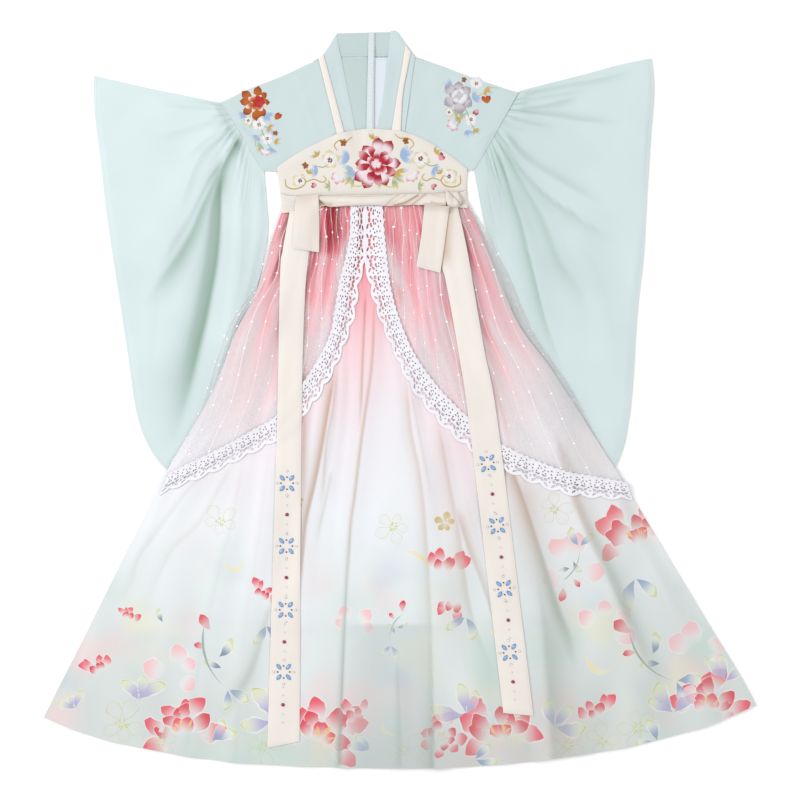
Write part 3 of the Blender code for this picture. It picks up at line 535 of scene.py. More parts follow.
def dress(node, outer, inner, skin, finish, slot, fields, place, corner_fields=None):
    """A sheet of cloth that stands for a CAD node: two like grids of points and the wall between them."""
    points = np.vstack([outer.reshape(-1, 3), inner.reshape(-1, 3)])
    count = len(points) // 2
    fields = {key: np.concatenate([values.reshape(count, -1)] * 2).squeeze()
              for key, values in fields.items()}
    piece = make_piece(node + "_cloth", points, walled(skin, count), finish, fields,
                       np.vstack([place.reshape(-1, 2)] * 2), corner_fields)
    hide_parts(node)
    return piece


def lengths(plan):
    """How far each point lies from the left and from the top edge, along the cloth, and the whole width
    and length there."""
    across = np.linalg.norm(np.diff(plan, axis=1, prepend=plan[:, :1]), axis=-1).cumsum(axis=1)
    down = np.linalg.norm(np.diff(plan, axis=0, prepend=plan[:1]), axis=-1).cumsum(axis=0)
    return across, down, across[:, -1:], down[-1:]


def cloth(node, plan, finish, slot, thick=FINE, relief=0.0, shade=0.0, reach=2, kept=None, fields=None,
          corner_fields=None, rounded=0.0, hug=0.0):
    """Lays a piece of cloth on what is below and lets it stand for a CAD node. The upper face is the
    resting height plus relief plus thickness, less a roll-off of half the thickness times
    exp(-edge / rounded). The relief dies away within hug of an edge."""
    across, down, width, length = lengths(plan)
    edge = np.minimum(np.minimum(across, width - across), np.minimum(down, length - down))
    if hug:
        relief = relief * smooth(edge / hug)
    under = resting(plan, reach) + relief
    top = under + thick
    if rounded:
        top = top - 0.5 * thick * np.exp(-edge / rounded)
    press(np.dstack([plan, top]))
    stored = {"edge": edge, "shade": np.clip(shade + 0 * edge, 0, 1), **(fields or {})}
    return dress(node, np.dstack([plan, top]), np.dstack([plan, under]), grid_faces(*edge.shape, kept),
                 finish, slot, stored, np.dstack([across - width / 2, -down]), corner_fields)


# ---------------------------------------------------------------- materials
# At this scale a Wave texture repeats every millimetre of the cloth
WAVE_SCALE = 2 * math.pi / 20
# The millimetres between a stripe's tufts
TUFT_STEP = 40.0
PRINT_LAYERS = 5
# The skirt's dye down its length, and the colour of the painted shade in its folds: (share of the way,
# colour), the two ends first
DYES = [(0.0, "#f08d98"), (1.0, "#d6dbd9"), (0.10, "#f3a0aa"), (0.20, "#f3b2ba"), (0.30, "#f2cad0"),
        (0.40, "#efdde3"), (0.50, "#ebe7ec"), (0.66, "#e9ecf0"), (0.86, "#dde4e4")]
FOLD_SHADES = [(0.0, "#8e1b26"), (1.0, "#97a39c"), (0.12, "#bb4c57"), (0.30, "#cf938e"), (0.42, "#c4a594"),
         (0.62, "#bfaea1"), (0.78, "#aeb6b0")]
# Pools of thin dye, 75 to 145 mm across: (scale, colour, threshold, strength)
POOLS = [(9.0, "#f0cfd0", 0.55, 0.55), (11.0, "#ece5bf", 0.58, 0.50), (7.0, "#c6dcd3", 0.53, 0.80),
         (13.0, "#c3cddd", 0.60, 0.45)]


def hexa(code):
    """A linear colour from an sRGB hex code."""
    srgb = np.array([int(code[i:i + 2], 16) for i in (1, 3, 5)]) / 255
    linear = np.where(srgb <= 0.04045, srgb / 12.92, ((srgb + 0.055) / 1.055) ** 2.4)
    return (*linear.tolist(), 1.0)


def fill(node, inputs):
    """Gives each of a node's inputs a value, an sRGB hex code, the name of a field stored on the mesh, or
    another node's socket."""
    for key, value in inputs.items():
        if isinstance(value, str):
            value = (hexa(value) if value[0] == "#" else
                     add(node.id_data, "Attribute", attribute_name=value, out="Fac"))
        if isinstance(value, bpy.types.NodeSocket):
            node.id_data.links.new(value, node.inputs[key])
        else:
            node.inputs[key].default_value = value


def add(tree, kind, *inputs, out=0, **settings):
    """One node with its settings; a Math node's operation may follow its kind. Its inputs come in their
    own order or in one dictionary. Gives its socket out."""
    kind, _, operation = kind.partition(" ")
    if operation:
        settings["operation"] = operation
    made = tree.nodes.new("ShaderNode" + kind)
    for key, value in settings.items():
        setattr(made, key, value)
    fill(made, inputs[0] if inputs and isinstance(inputs[0], dict) else dict(enumerate(inputs)))
    return made.outputs[out]


def begun(name):
    """A new material and its tree."""
    made = bpy.data.materials.new(name)
    made.use_nodes = True
    return made, made.node_tree


def finished(made, base, roughness, sheen=0.0, ior=1.5, specular=0.25, **others):
    """The material with its shader's colour, roughness, sheen and gloss, and others by their names."""
    fill(made.node_tree.nodes["Principled BSDF"],
         {"Base Color": base, "Roughness": roughness, "Sheen Weight": sheen, "Sheen Roughness": 0.4,
          "IOR": ior, "Specular IOR Level": specular, **others})
    return made


def coats(tree, base, *layers):
    """A colour with others laid over it in turn, each by its share."""
    for share, colour in layers:
        base = add(tree, "Mix", {0: share, 6: base, 7: colour}, out=2, data_type="RGBA")
    return base


def weave(tree, pitch, strength, crinkle=0.0):
    """A plain weave's bump on the cloth's own millimetres: two sets of ridges one pitch apart, crossed,
    and a crinkle of noise three pitches wide."""
    uv = add(tree, "UVMap", uv_map="cloth_mm")
    ridges = [add(tree, "TexWave", {"Vector": uv, "Scale": WAVE_SCALE / pitch, "Distortion": 0.6},
                  out="Fac", bands_direction=way) for way in "XY"]
    crossed = add(tree, "Math ADD", *ridges)
    noise = add(tree, "TexNoise", {"Vector": uv, "Scale": 1 / (3 * pitch), "Detail": 3.0})
    height = add(tree, "Math MULTIPLY_ADD", noise, crinkle, crossed)
    return add(tree, "Bump", {"Height": height, "Strength": strength, "Distance": 0.0005})


def hem_line(tree, inset, width):
    """1 on a line of stitches a set distance in from the edge, 0 elsewhere."""
    away = add(tree, "Math ABSOLUTE", add(tree, "Math SUBTRACT", "edge", inset))
    return add(tree, "MapRange", away, 0.0, width, 1.0, 0.0)


def streaks(tree, across, along, count):
    """Noise drawn out down the cloth: count swells across the piece to every three down it."""
    place = add(tree, "CombineXYZ", add(tree, "Math MULTIPLY", across, count),
                add(tree, "Math MULTIPLY", along, 3.0))
    return add(tree, "TexNoise", {"Vector": place, "Scale": 1.0, "Detail": 2.0})


def dip_dyed(tree, stops):
    """A run of colours down the skirt."""
    ramp = add(tree, "ValToRGB", "down")
    elements = ramp.node.color_ramp.elements
    for i, (place, code) in enumerate(stops):
        stop = elements[i] if i < 2 else elements.new(place)
        stop.position, stop.color = place, hexa(code)
    return ramp


def chiffon(name, dye, dip, fold, line):
    """Polyester chiffon, piece-dyed: a fine crinkled weave with a soft matt face. It is paler where one
    layer lies thin, and darker in the folds, where painted shade stands for their shadow and also for
    its layers stacking up."""
    made, tree = begun(name)
    # Broad unevenness of the dye, about 120 mm across
    place = add(tree, "TexCoord", out="Object")
    cloud = add(tree, "TexNoise", {"Vector": place, "Scale": 8.0, "Detail": 2.0})
    cloud = add(tree, "MapRange", cloud, 0.35, 0.65)
    # The stored shade paints the folds in the fold colour: painted shade
    base = coats(tree, dye, (cloud, dip), ("shade", fold), (hem_line(tree, 4.0, 0.8), line))
    # Threads 0.3 mm apart are drawn 1.4 mm apart, so that they show
    return finished(made, base, 0.75, 0.25, Normal=weave(tree, 1.4, 0.12, 1.5))


def lining_cloth():
    """Polyester lining, plain-woven: flat, smooth and cool white."""
    made, tree = begun("polyester_lining")
    base = coats(tree, "#d3dce2", (hem_line(tree, 3.0, 0.8), "#c2ccd4"))
    return finished(made, base, 0.6, Normal=weave(tree, 1.6, 0.08))


def satin(name, base, fold):
    """Cotton-backed satin, pressed: cream, with a low soft gloss, a fine weave and a pressed edge."""
    made, tree = begun(name)
    place = add(tree, "TexCoord", out="Object")
    cloud = add(tree, "TexNoise", {"Vector": place, "Scale": 14.0, "Detail": 3.0})
    cloud = add(tree, "Math MULTIPLY", cloud, 0.22)
    line = add(tree, "Math MULTIPLY", hem_line(tree, 2.4, 0.7), 0.12)
    # The fold colour tints the uneven cloud and the pressed edge, and is also that of the painted shade
    base = coats(tree, base, (cloud, fold), ("shade", fold), (line, fold))
    # Threads 0.25 mm apart are drawn 1.2 mm apart, so that they show
    return finished(made, base, 0.55, 0.15, Normal=weave(tree, 1.2, 0.10, 0.6))


def lace_cotton():
    """Chemical lace of polyester thread: dense white stitches in satin rows, so it is matt and bright."""
    made, tree = begun("chemical_lace")
    # Painted shade round the holes, and the net's tint along its straight edge
    base = coats(tree, "#ebeaf0", ("shade", "#cec8ce"))
    # Stitches of 0.4 mm thread, drawn 0.9 mm apart, so that they show
    return finished(made, base, 0.7, 0.3, Normal=weave(tree, 0.9, 0.25, 2.0))


def organza():
    """Polyester organza with tufts: a sheer stiff weave, so most light goes through, with a white stripe
    of thicker yarn every few millimetres and small white tufts strung on it."""
    made, tree = begun("tufted_organza")
    part = add(tree, "Math SUBTRACT", add(tree, "Math FRACT", "lane"), 0.5)
    away = add(tree, "Math MULTIPLY", add(tree, "Math ABSOLUTE", part), "pitch")
    # A stripe is 0.5 mm of yarn, drawn 0.7 mm wide, and some stripes are of finer yarn than others
    stripe = add(tree, "MapRange", away, 0.10, 0.60, 1.0, 0.0)
    chance = add(tree, "TexWhiteNoise", {"W": add(tree, "Math FLOOR", "lane")}, noise_dimensions="1D")
    stripe = add(tree, "Math MULTIPLY", stripe, add(tree, "MapRange", chance, 0.0, 1.0, 0.38, 0.72))
    # A tuft is 2.8 mm across
    down = add(tree, "SeparateXYZ", add(tree, "UVMap", uv_map="cloth_mm"), out="Y")
    step = add(tree, "Math FRACT", add(tree, "Math MULTIPLY_ADD", down, 1 / TUFT_STEP, chance))
    step = add(tree, "Math MULTIPLY_ADD", step, TUFT_STEP, -TUFT_STEP / 2)
    off = add(tree, "VectorMath LENGTH", add(tree, "CombineXYZ", away, step), out="Value")
    yarn = add(tree, "Math MAXIMUM", stripe, add(tree, "MapRange", off, 0.9, 1.9, 0.95, 0.0))
    # The haze of the bare weave lies in streaks down the gathers
    haze = add(tree, "MapRange", streaks(tree, "lane", "fall", 0.8), 0.38, 0.66, 0.02, 0.38)
    haze = add(tree, "Math MULTIPLY", add(tree, "Math MULTIPLY_ADD", "shade", 0.06, haze), "veiled")
    # Where front and back lie on each other beyond the skirt, along the free side, it is less clear and
    # painted grey: painted shade, standing also for the two layers
    haze = add(tree, "Math MULTIPLY_ADD", "dusk", 0.45, haze)
    cover = add(tree, "MapRange", yarn, 0.0, 1.0, haze, 0.85)
    base = coats(tree, "#dcdbdd", ("dusk", "#a3aba8"), (yarn, "#ffffff"))
    return finished(made, base, 0.5, 0.3, Alpha=cover, Normal=weave(tree, 1.2, 0.15, 1.0))


def zip_weave():
    """Woven zip tape over its coil: herringbone ribs 2 mm apart and a grey line where its halves meet."""
    made, tree = begun("zip_tape")
    uv = add(tree, "UVMap", uv_map="cloth_mm")
    ribs = add(tree, "TexWave", {"Vector": uv, "Scale": WAVE_SCALE / 2.0, "Distortion": 2.0,
                                 "Detail Scale": 2.0}, out="Fac", bands_direction="Y")
    line = add(tree, "MapRange", add(tree, "SeparateXYZ", uv), 2.4, 3.4)
    bump = add(tree, "Bump", {"Height": ribs, "Strength": 0.5, "Distance": 0.0008})
    return finished(made, coats(tree, "#c6d2d4", (ribs, "#dfe5e7"), (line, "#c6c8cf")), 0.6, Normal=bump)


def silk_thread():
    """Rayon embroidery thread in satin stitch: bright, with a soft gloss along each row. The colour of
    each stitch is stored on the mesh. Rows 0.35 mm apart are drawn 0.9 mm apart, so that they show."""
    made, tree = begun("embroidery_thread")
    uv = add(tree, "UVMap", uv_map="cloth_mm")
    rows = add(tree, "TexWave", {"Vector": uv, "Scale": WAVE_SCALE / 0.9, "Distortion": 1.0},
               out="Fac", bands_direction="Y")
    # Each row is painted about a fifth lighter along its crest than where it meets the next: a painted
    # sheen
    grey = add(tree, "CombineColor", *[add(tree, "MapRange", rows, 0.0, 1.0, 0.78, 1.0)] * 3)
    thread = add(tree, "Attribute", attribute_name="thread", out="Color")
    base = add(tree, "Mix", {0: 1.0, 6: thread, 7: grey}, out=2, data_type="RGBA", blend_type="MULTIPLY")
    bump = add(tree, "Bump", {"Height": rows, "Strength": 0.4, "Distance": 0.0004})
    return finished(made, base, 0.4, 0.2, Normal=bump)


def cut_glass():
    """Glass beads, moulded and foil-backed: strongly coloured, hard and very glossy."""
    made, tree = begun("glass_beads")
    # The stored colour holds each bead's painted shade and painted highlight
    tint = add(tree, "Attribute", attribute_name="glass", out="Color")
    return finished(made, tint, 0.12, ior=1.55, specular=0.5)


def petals_laid(tree, base, layer, ragged):
    """A colour with one layer of printed petals on it. Petals have a half width of about
    2.2 * along^1.4 * (1 - along)^0.85, made uneven by a noise, and nothing beyond their ends."""
    petal = add(tree, "Attribute", attribute_name=f"petal_{layer}", out="Vector")
    along, aside, fade = (add(tree, "SeparateXYZ", petal, out=part) for part in "XYZ")
    near = add(tree, "Clamp", along, 0.001, 1.0)
    swell = add(tree, "Math POWER", near, 1.4)
    point = add(tree, "Math POWER", add(tree, "Math SUBTRACT", 1.0, near), 0.85)
    half = add(tree, "Math MULTIPLY", add(tree, "Math MULTIPLY", swell, point), ragged)
    beyond = add(tree, "Math ABSOLUTE", add(tree, "Math SUBTRACT", along, near))
    off = add(tree, "Math MULTIPLY_ADD", beyond, 3.0, add(tree, "Math ABSOLUTE", aside))
    inside = add(tree, "Math SUBTRACT", half, off)
    mask = add(tree, "MapRange", inside, 0.0, 0.04)
    # A petal is deep at the tip and fades to its own strength at the base; below nought that strength
    # is deep at the base instead, and the tip fades out
    turned = add(tree, "Math LESS_THAN", fade, 0.0)
    ink = add(tree, "MapRange", along, 0.26, 0.92, add(tree, "Math ABSOLUTE", fade),
              add(tree, "Math SUBTRACT", 1.0, turned), interpolation_type="SMOOTHSTEP")
    colour, outline = (add(tree, "Attribute", attribute_name=f"ink_{layer}", out=part)
                       for part in ("Color", "Alpha"))
    rim = add(tree, "Math MULTIPLY", add(tree, "MapRange", inside, 0.035, 0.06, 1.0, 0.0), outline)
    filled = add(tree, "Math SUBTRACT", 1.0, outline)
    ink = add(tree, "Math MAXIMUM", add(tree, "Math MULTIPLY", ink, filled), rim)
    ink = add(tree, "Math MULTIPLY", ink, mask)
    # A thin bare line round each petal keeps it apart from the one below
    bare = add(tree, "MapRange", inside, -0.08, -0.03, 0.0, 0.55)
    bare = add(tree, "Math MULTIPLY", bare, filled)
    bare = add(tree, "Math MULTIPLY", bare, add(tree, "MapRange", along, 0.2, 0.45))
    return coats(tree, base, (bare, "#eef0f0"), (ink, colour))


def printed_chiffon(name, cover):
    """Polyester chiffon, dip-dyed down its length and printed with flowers: crisp-edged petals that are
    deep at the tip and fade out at the base, over blurred pools of colour near the hem. It is slightly
    sheer, so it looks whiter where the lining backs it, and paler along its sides."""
    made, tree = begun(name)
    # Streaks of deeper pink where the gathers are tight: painted shade of the gathers, standing also for
    # their layers stacking up
    deep = add(tree, "MapRange", streaks(tree, "across", "down", 30.0), 0.44, 0.70, 0.0, 0.65)
    deep = add(tree, "Math MULTIPLY", deep, add(tree, "MapRange", "down", 0.0, 0.32, 1.0, 0.0))
    base = coats(tree, dip_dyed(tree, DYES), (deep, "#dd6474"))
    place = add(tree, "TexCoord", out="Object")
    low = add(tree, "MapRange", "down", 0.60, 0.92)
    for i, (scale, code, threshold, strength) in enumerate(POOLS):
        pool = add(tree, "VectorMath", place, (0.7 * i, 1.3 * i, 0.4))
        pool = add(tree, "TexNoise", {"Vector": pool, "Scale": scale, "Detail": 1.5})
        pool = add(tree, "MapRange", pool, threshold, threshold + 0.16, 0.0, strength)
        base = coats(tree, base, (add(tree, "Math MULTIPLY", pool, low), code))
    ragged = add(tree, "TexNoise", {"Vector": place, "Scale": 75.0, "Detail": 1.0})
    ragged = add(tree, "Math MULTIPLY_ADD", ragged, 1.8, 1.3)
    for layer in range(PRINT_LAYERS):
        base = petals_laid(tree, base, layer, ragged)
    # Less white where no lining backs it, painted shade in the folds, and paler sides above the lace
    base = coats(tree, base, ("unlined", coats(tree, base, (0.5, "#b9c4c4"))),
                 ("shade", dip_dyed(tree, FOLD_SHADES)), ("pale", "#ccd0d1"))
    return finished(made, base, 0.75, 0.2, Alpha=cover, Normal=weave(tree, 1.4, 0.12, 1.5))


# ---------------------------------------------------------------- the flower print
INKS = {
    "coral": "#e8596b", "red": "#dc4355", "blush": "#f4c3c8", "gold": "#cdbb78", "lime": "#c6bd72",
    "blue": "#8fa3c6", "slate": "#7389a3", "sage": "#d3d9a8", "straw": "#ece2ae", "sun": "#efc46a",
    "stem": "#94a8a4", "lilac": "#b3aed0", "leaf": "#c9cf7a",
}
# Kinds of flower: rings of (layer, petals, degrees they fan over, start, length, width, ink, strength at
# the base, outline, bend as a share of the length)
FLOWERS = {
    "open": [(1, 7, 360, 0.22, 0.78, 0.50, "coral", 0.0, 0.0, 0.14),
             (2, 5, 280, 0.04, 0.60, 0.40, "red", 0.0, 0.0, 0.14),
             (4, 7, 200, 0.02, 0.24, 0.05, "sun", 0.9, 0.0, 0.2)],
    "lotus": [(1, 6, 230, 0.20, 0.84, 0.44, "coral", 0.0, 0.0, 0.16),
              (2, 5, 170, 0.02, 0.74, 0.38, "red", 0.0, 0.0, 0.12),
              (3, 3, 110, -0.16, 0.56, 0.36, "coral", 0.0, 0.0, 0.1),
              (4, 5, 120, 0.10, 0.26, 0.045, "sun", 0.9, 0.0, 0.2)],
    "fan": [(1, 4, 130, 0.10, 0.90, 0.42, "coral", 0.0, 0.0, 0.14),
            (2, 3, 80, -0.05, 0.66, 0.36, "red", 0.0, 0.0, 0.1)],
    "ghost": [(0, 4, 250, 0.12, 0.88, 0.60, "blush", 0.0, 0.0, 0.1)],
    "blossom": [(2, 5, 360, 0.10, 0.90, 0.64, "lime", 0.0, 0.92, 0.0),
                (4, 8, 360, 0.0, 0.30, 0.07, "leaf", 0.9, 0.0, 0.0)],
    "stars": [(3, 5, 360, 0.0, 1.0, 0.66, "gold", 0.7, 0.0, 0.0)],
    "bud": [(3, 1, 0, 0.0, 1.0, 0.56, "red", 0.45, 0.0, 0.1)],
    "stem": [(4, 1, 0, 0.0, 1.0, 0.035, "stem", 0.8, 0.0, 0.16)],
    "leaves": [(0, 2, 110, 0.0, 1.0, 0.44, "sage", 0.1, 0.0, 0.14),
               (3, 2, 110, 0.0, 0.86, 0.38, "blue", -0.95, 0.0, 0.14)],
    "leaf": [(0, 1, 0, 0.0, 1.0, 0.42, "sage", 0.2, 0.0, 0.15),
             (3, 1, 0, 0.0, 0.80, 0.36, "slate", -0.90, 0.0, 0.15)],
    "dusk": [(0, 3, 150, 0.0, 1.0, 0.46, "leaf", 0.0, 0.0, 0.12),
             (3, 3, 150, 0.0, 0.94, 0.42, "lilac", -0.95, 0.0, 0.12)],
    "curl": [(3, 1, 0, 0.0, 1.0, 0.18, "straw", 0.6, 0.0, 0.5)],
}


def spray(x, y, turn, reach):
    """A twig: a bent stem with two buds at its head, two leaves on the way and a pair at its foot."""
    c, s = math.cos(math.radians(turn)), math.sin(math.radians(turn))
    return [("stem", x, y, reach, turn), ("bud", x + reach * c, y + reach * s, 0.30 * reach, turn + 8),
            ("bud", x + reach * (0.74 * c - 0.16 * s), y + reach * (0.74 * s + 0.16 * c), 0.24 * reach,
             turn + 50),
            ("leaf", x + 0.55 * reach * c, y + 0.55 * reach * s, 0.36 * reach, turn - 48),
            ("leaf", x + 0.36 * reach * c, y + 0.36 * reach * s, 0.30 * reach, turn + 62),
            ("leaves", x, y, 0.42 * reach, turn + 190)]


# (kind, x, y, reach, turn in degrees)
FRONT_PRINT = [
    ("lotus", 350, -208, 60, 104), ("fan", 60, -256, 44, 70), ("fan", 78, -292, 30, 250),
    ("fan", -206, -292, 30, 60), ("lotus", -318, -486, 54, 108), ("lotus", -116, -500, 66, 70),
    ("lotus", 150, -496, 64, 100), ("fan", 290, -470, 40, 100), ("lotus", 448, -452, 56, 74),
    ("fan", -436, -400, 32, 120), ("fan", -402, -322, 22, 70), ("fan", -60, -470, 34, 130),
    ("open", 60, -494, 36, 40), *spray(-252, -424, 106, 90), *spray(404, -412, 132, 96),
    *spray(-14, -360, 70, 52), *spray(262, -214, 248, 64), ("blossom", -262, -178, 25, 10),
    ("blossom", -10, -186, 25, 30), ("blossom", 226, -160, 26, 50), ("blossom", -406, -474, 34, 20),
    ("blossom", -350, -500, 28, 50), ("blossom", -200, -508, 28, 40), ("blossom", 6, -512, 30, 10),
    ("blossom", 244, -506, 32, 15), ("blossom", 348, -480, 32, 0), ("blossom", 296, -500, 26, 50),
    ("stars", 66, -180, 15, 10), ("stars", -150, -146, 11, 0), ("curl", 2, -222, 52, 340),
    ("curl", -226, -226, 40, 200), ("curl", 320, -386, 44, 160), ("curl", -196, -430, 36, 20),
    ("curl", 118, -340, 30, 40), ("curl", -20, -460, 30, 300), ("ghost", 250, -250, 50, 100),
    ("ghost", -330, -402, 42, 60), ("ghost", 300, -330, 44, 60), ("ghost", -70, -330, 30, 80),
    ("ghost", 440, -372, 46, 70), ("leaves", 344, -262, 46, 290), ("leaves", 96, -318, 32, 250),
    ("leaves", -196, -330, 40, 270), ("dusk", -382, -440, 44, 80), ("dusk", -186, -470, 50, 130),
    ("dusk", 96, -460, 46, 110), ("dusk", 226, -478, 46, 50), ("dusk", 400, -458, 46, 110),
    ("dusk", 476, -412, 38, 90), ("dusk", -474, -452, 30, 120), ("leaves", -276, -500, 36, 40),
    ("leaves", -44, -514, 36, 150), ("leaves", 110, -526, 38, 20), ("leaves", 376, -500, 32, 150),
    ("leaf", 436, -300, 32, 60), ("leaf", -346, -326, 26, 110), ("leaf", 160, -420, 26, 250),
]
BACK_PRINT = [
    ("lotus", -40, -440, 60, 90), ("open", -210, -470, 50, 30), ("lotus", 260, -440, 58, 80),
    ("fan", 120, -300, 40, 60), ("lotus", -330, -380, 54, 100), ("open", 400, -460, 48, 0),
    *spray(-120, -400, 80, 80), *spray(190, -400, 100, 84), *spray(340, -360, 70, 80),
    ("dusk", -280, -420, 48, 100), ("dusk", 60, -440, 48, 80), ("blossom", 60, -380, 30, 20),
    ("blossom", -150, -340, 30, 0), ("blossom", 300, -330, 30, 0), ("stars", -20, -260, 14, 0),
    ("leaves", 200, -220, 40, 260), ("leaves", -200, -240, 40, 280), ("curl", 30, -240, 46, 20),
]
# A thin petal is looked for as if it were this wide
LEAST_WIDTH = 6


def petals_of(table):
    """Every petal of a print, as rows of layer, base x and y, direction, length, width, bend, strength at
    the base, colour and outline. A ring's petals fan evenly over its degrees round the flower's turn."""
    rows = []
    for i, (kind, x, y, reach, turn) in enumerate(table):
        for layer, count, fan, start, length, width, ink, fade, outline, bend in FLOWERS[kind]:
            for k in range(count):
                angle = turn + fan * ((k + 0.5) / count - 0.5) + 9 * math.sin(3 * k + i)
                angle = math.radians(angle + (18 * layer if fan == 360 and layer < 3 else 0))
                size = reach * (1 + 0.16 * math.sin(5 * k + 2 * i))
                tint = np.array(hexa(INKS[ink]))
                tint[3] = outline
                rows.append([layer, x + start * size * math.cos(angle),
                             y + start * size * math.sin(angle), angle, length * size, width * size,
                             bend * math.cos(2 * k + i), fade, *tint])
    return np.array(rows)


def printed(table):
    """What the print's shader needs on each face corner: in each layer the petal nearest the face, its
    place along it (s, 0 at the base to 1 at the tip) and aside from its middle (t, in widths), and its
    ink. The middle bends aside by bend * length * 4s(1 - s). The nearest petal is the one whose middle is
    least off, counted in half lengths and widths."""
    petals = petals_of(table)

    def place_on(off, ahead, aside, length, width, bend):
        s = (off * ahead).sum(axis=-1) / length
        bow = bend * length * 4 * s * (1 - s)
        return s, ((off * aside).sum(axis=-1) - bow) / width

    def corner_fields(corners):
        fields = {}
        middle = corners.mean(axis=1)
        for layer in range(PRINT_LAYERS):
            _, x, y, angle, length, width, bend, fade, *ink = petals[petals[:, 0] == layer].T
            ink = np.array(ink).T
            ahead = np.stack([np.cos(angle), np.sin(angle)], axis=-1)
            aside = np.stack([-np.sin(angle), np.cos(angle)], axis=-1)
            base = np.stack([x, y], axis=-1)
            best = np.empty(len(middle), int)
            for some in np.array_split(np.arange(len(middle)), 12):
                s, t = place_on(middle[some, None] - base, ahead, aside, length,
                                np.maximum(width, LEAST_WIDTH), bend)
                best[some] = ((2 * s - 1.2) ** 2 + (2 * t) ** 2).argmin(axis=1)
            pick = best[:, None]
            own = (some[pick] for some in (ahead, aside, length, width, bend))
            s, t = place_on(corners - base[pick], *own)
            fields[f"petal_{layer}"] = np.dstack([s, t, np.repeat(fade[pick], 4, axis=1)])
            fields[f"ink_{layer}"] = np.repeat(ink[pick], 4, axis=1)
        return fields

    return corner_fields


# ---------------------------------------------------------------- sleeves, bodice and collar
# Each chiffon's third colour is that of the painted shade in its folds
mint = chiffon("mint_chiffon_single", "#cddbdc", "#c8d6d7", "#7f9c8c", "#c3d1d2")
mint_double = chiffon("mint_chiffon_double", "#c4d2d2", "#c0cecf", "#8ea79c", "#bccbcb")
mint_inside = chiffon("mint_chiffon_inside", "#bbcaca", "#b6c6c5", "#92a79f", "#b2c2c2")
white = lining_cloth()
# Each satin's second colour is that of its painted shade, and also tints its uneven tone and pressed edge
cream_band = satin("cream_band_satin", "#dfdbd5", "#bfab8e")
cream_tie = satin("cream_tie_satin", "#e8e3de", "#bda58b")
cream_sash = satin("cream_sash_satin", "#e6e0d9", "#a07c5a")
lace_white = lace_cotton()
veil = organza()


def sleeve_plan(outline, armhole, fan, down, columns, inset):
    """A sleeve's grid: its lines fan out from the armhole to the mouth. inset draws its sides in."""
    across = np.linspace(0, 1, columns + 1)
    at_armhole, at_mouth = zip(*fan)
    mouth = curve(outline["mouth"], np.interp(across, at_armhole, at_mouth))
    plan = patch(curve(armhole, across), mouth, curve(outline["top"], down),
                 curve(outline["inner"], down), across, down)
    for edge, neighbour in ((0, 1), (-1, -2)):
        away = plan[:, neighbour] - plan[:, edge]
        plan[:, edge] += inset * away / np.linalg.norm(away, axis=1)[:, None]
    return plan


def sleeve(node, outline, armhole, fan, table, seed, gathered, broad_shade):
    """A wide sleeve pressed flat: its back lies on the floor and its front puffs over it by a soft swell,
    the gathers at the armhole and the creases. The front and the back are one tube. Gathered gives the
    strength of the gathers at shares of the armhole, and dull the strength of a broad painted shade,
    strongest at the armhole and gone at the mouth."""
    front_columns, back_columns = 150, 30
    down = np.linspace(0, 1, 120) ** 1.15
    u, v = np.linspace(0, 1, front_columns + 1)[None, :], down[:, None]
    plan = sleeve_plan(outline, armhole, fan, down, front_columns, 0)
    # Sewn down flat at the armhole, and nearly closed at the mouth
    sewn = smooth(u / 0.06) * smooth((1 - u) / 0.1) * smooth((v - 0.012) / 0.08)
    mouth = smooth((1 - v) / 0.04) * 0.85 + 0.15
    strength = np.interp(u, *zip(*gathered))
    pull, pull_shade = gathers(u, v, 13, 2.4, 0.26, seed, strength)
    fine, fine_shade = gathers(u, v, 31, 0.9, 0.10, seed, strength)
    drawn, drawn_shade = creases(plan, table)
    swell = 1.6 + 0.9 * wobble(plan[..., 0], plan[..., 1], int(seed * 10) + 3, 190)
    relief = sewn * (pull + fine + mouth * (drawn + swell))
    # Painted shade in the gathers and creases, with the broad painted shade over it
    shade = np.clip(0.34 * pull_shade + 0.20 * fine_shade + drawn_shade + broad_shade * (1 - v), 0, 1)
    surfaces = []
    for inset, rise, low in ((0, SHEER, 0.0), (SHEER, 0.0, SHEER)):
        front = sleeve_plan(outline, armhole, fan, down, front_columns, inset)
        back = sleeve_plan(outline, armhole, fan, down, back_columns, inset)[:, ::-1]
        front = np.dstack([front, SHEER + GAP + relief + rise])
        back = np.dstack([back, np.full(back.shape[:2], low)])
        surfaces.append(np.concatenate([front, back], axis=1))
    press(surfaces[0][:, :front_columns + 1])
    around, along, _, length = lengths(surfaces[0][..., :2])
    fields = {"shade": np.pad(shade, ((0, 0), (0, back_columns + 1))), "edge": length - along}
    piece = dress(node, *surfaces, grid_faces(*around.shape, closed=True), mint, "mint_chiffon", fields,
                  np.dstack([around, -along]))


def bodice_back():
    """The back of the bodice in two halves that meet at the zip, seen from its inside."""
    left, right = (moved(CENTRE_BACK, side * SEAM / 2) for side in (-1, 1))
    for node, edges in (
            ("bodice_back_left", (SHOULDER_LEFT + left[:1], [ARMHOLE_LEFT[-1], left[-1]],
                                  moved(ARMHOLE_LEFT, TURNED), left)),
            ("bodice_back_right", (right[:1] + SHOULDER_RIGHT, [right[-1], ARMHOLE_RIGHT[-1]],
                                   right, moved(ARMHOLE_RIGHT, -TURNED)))):
        piece = cloth(node, panel(*edges, 7.0), mint_inside, "mint_inside", reach=1)


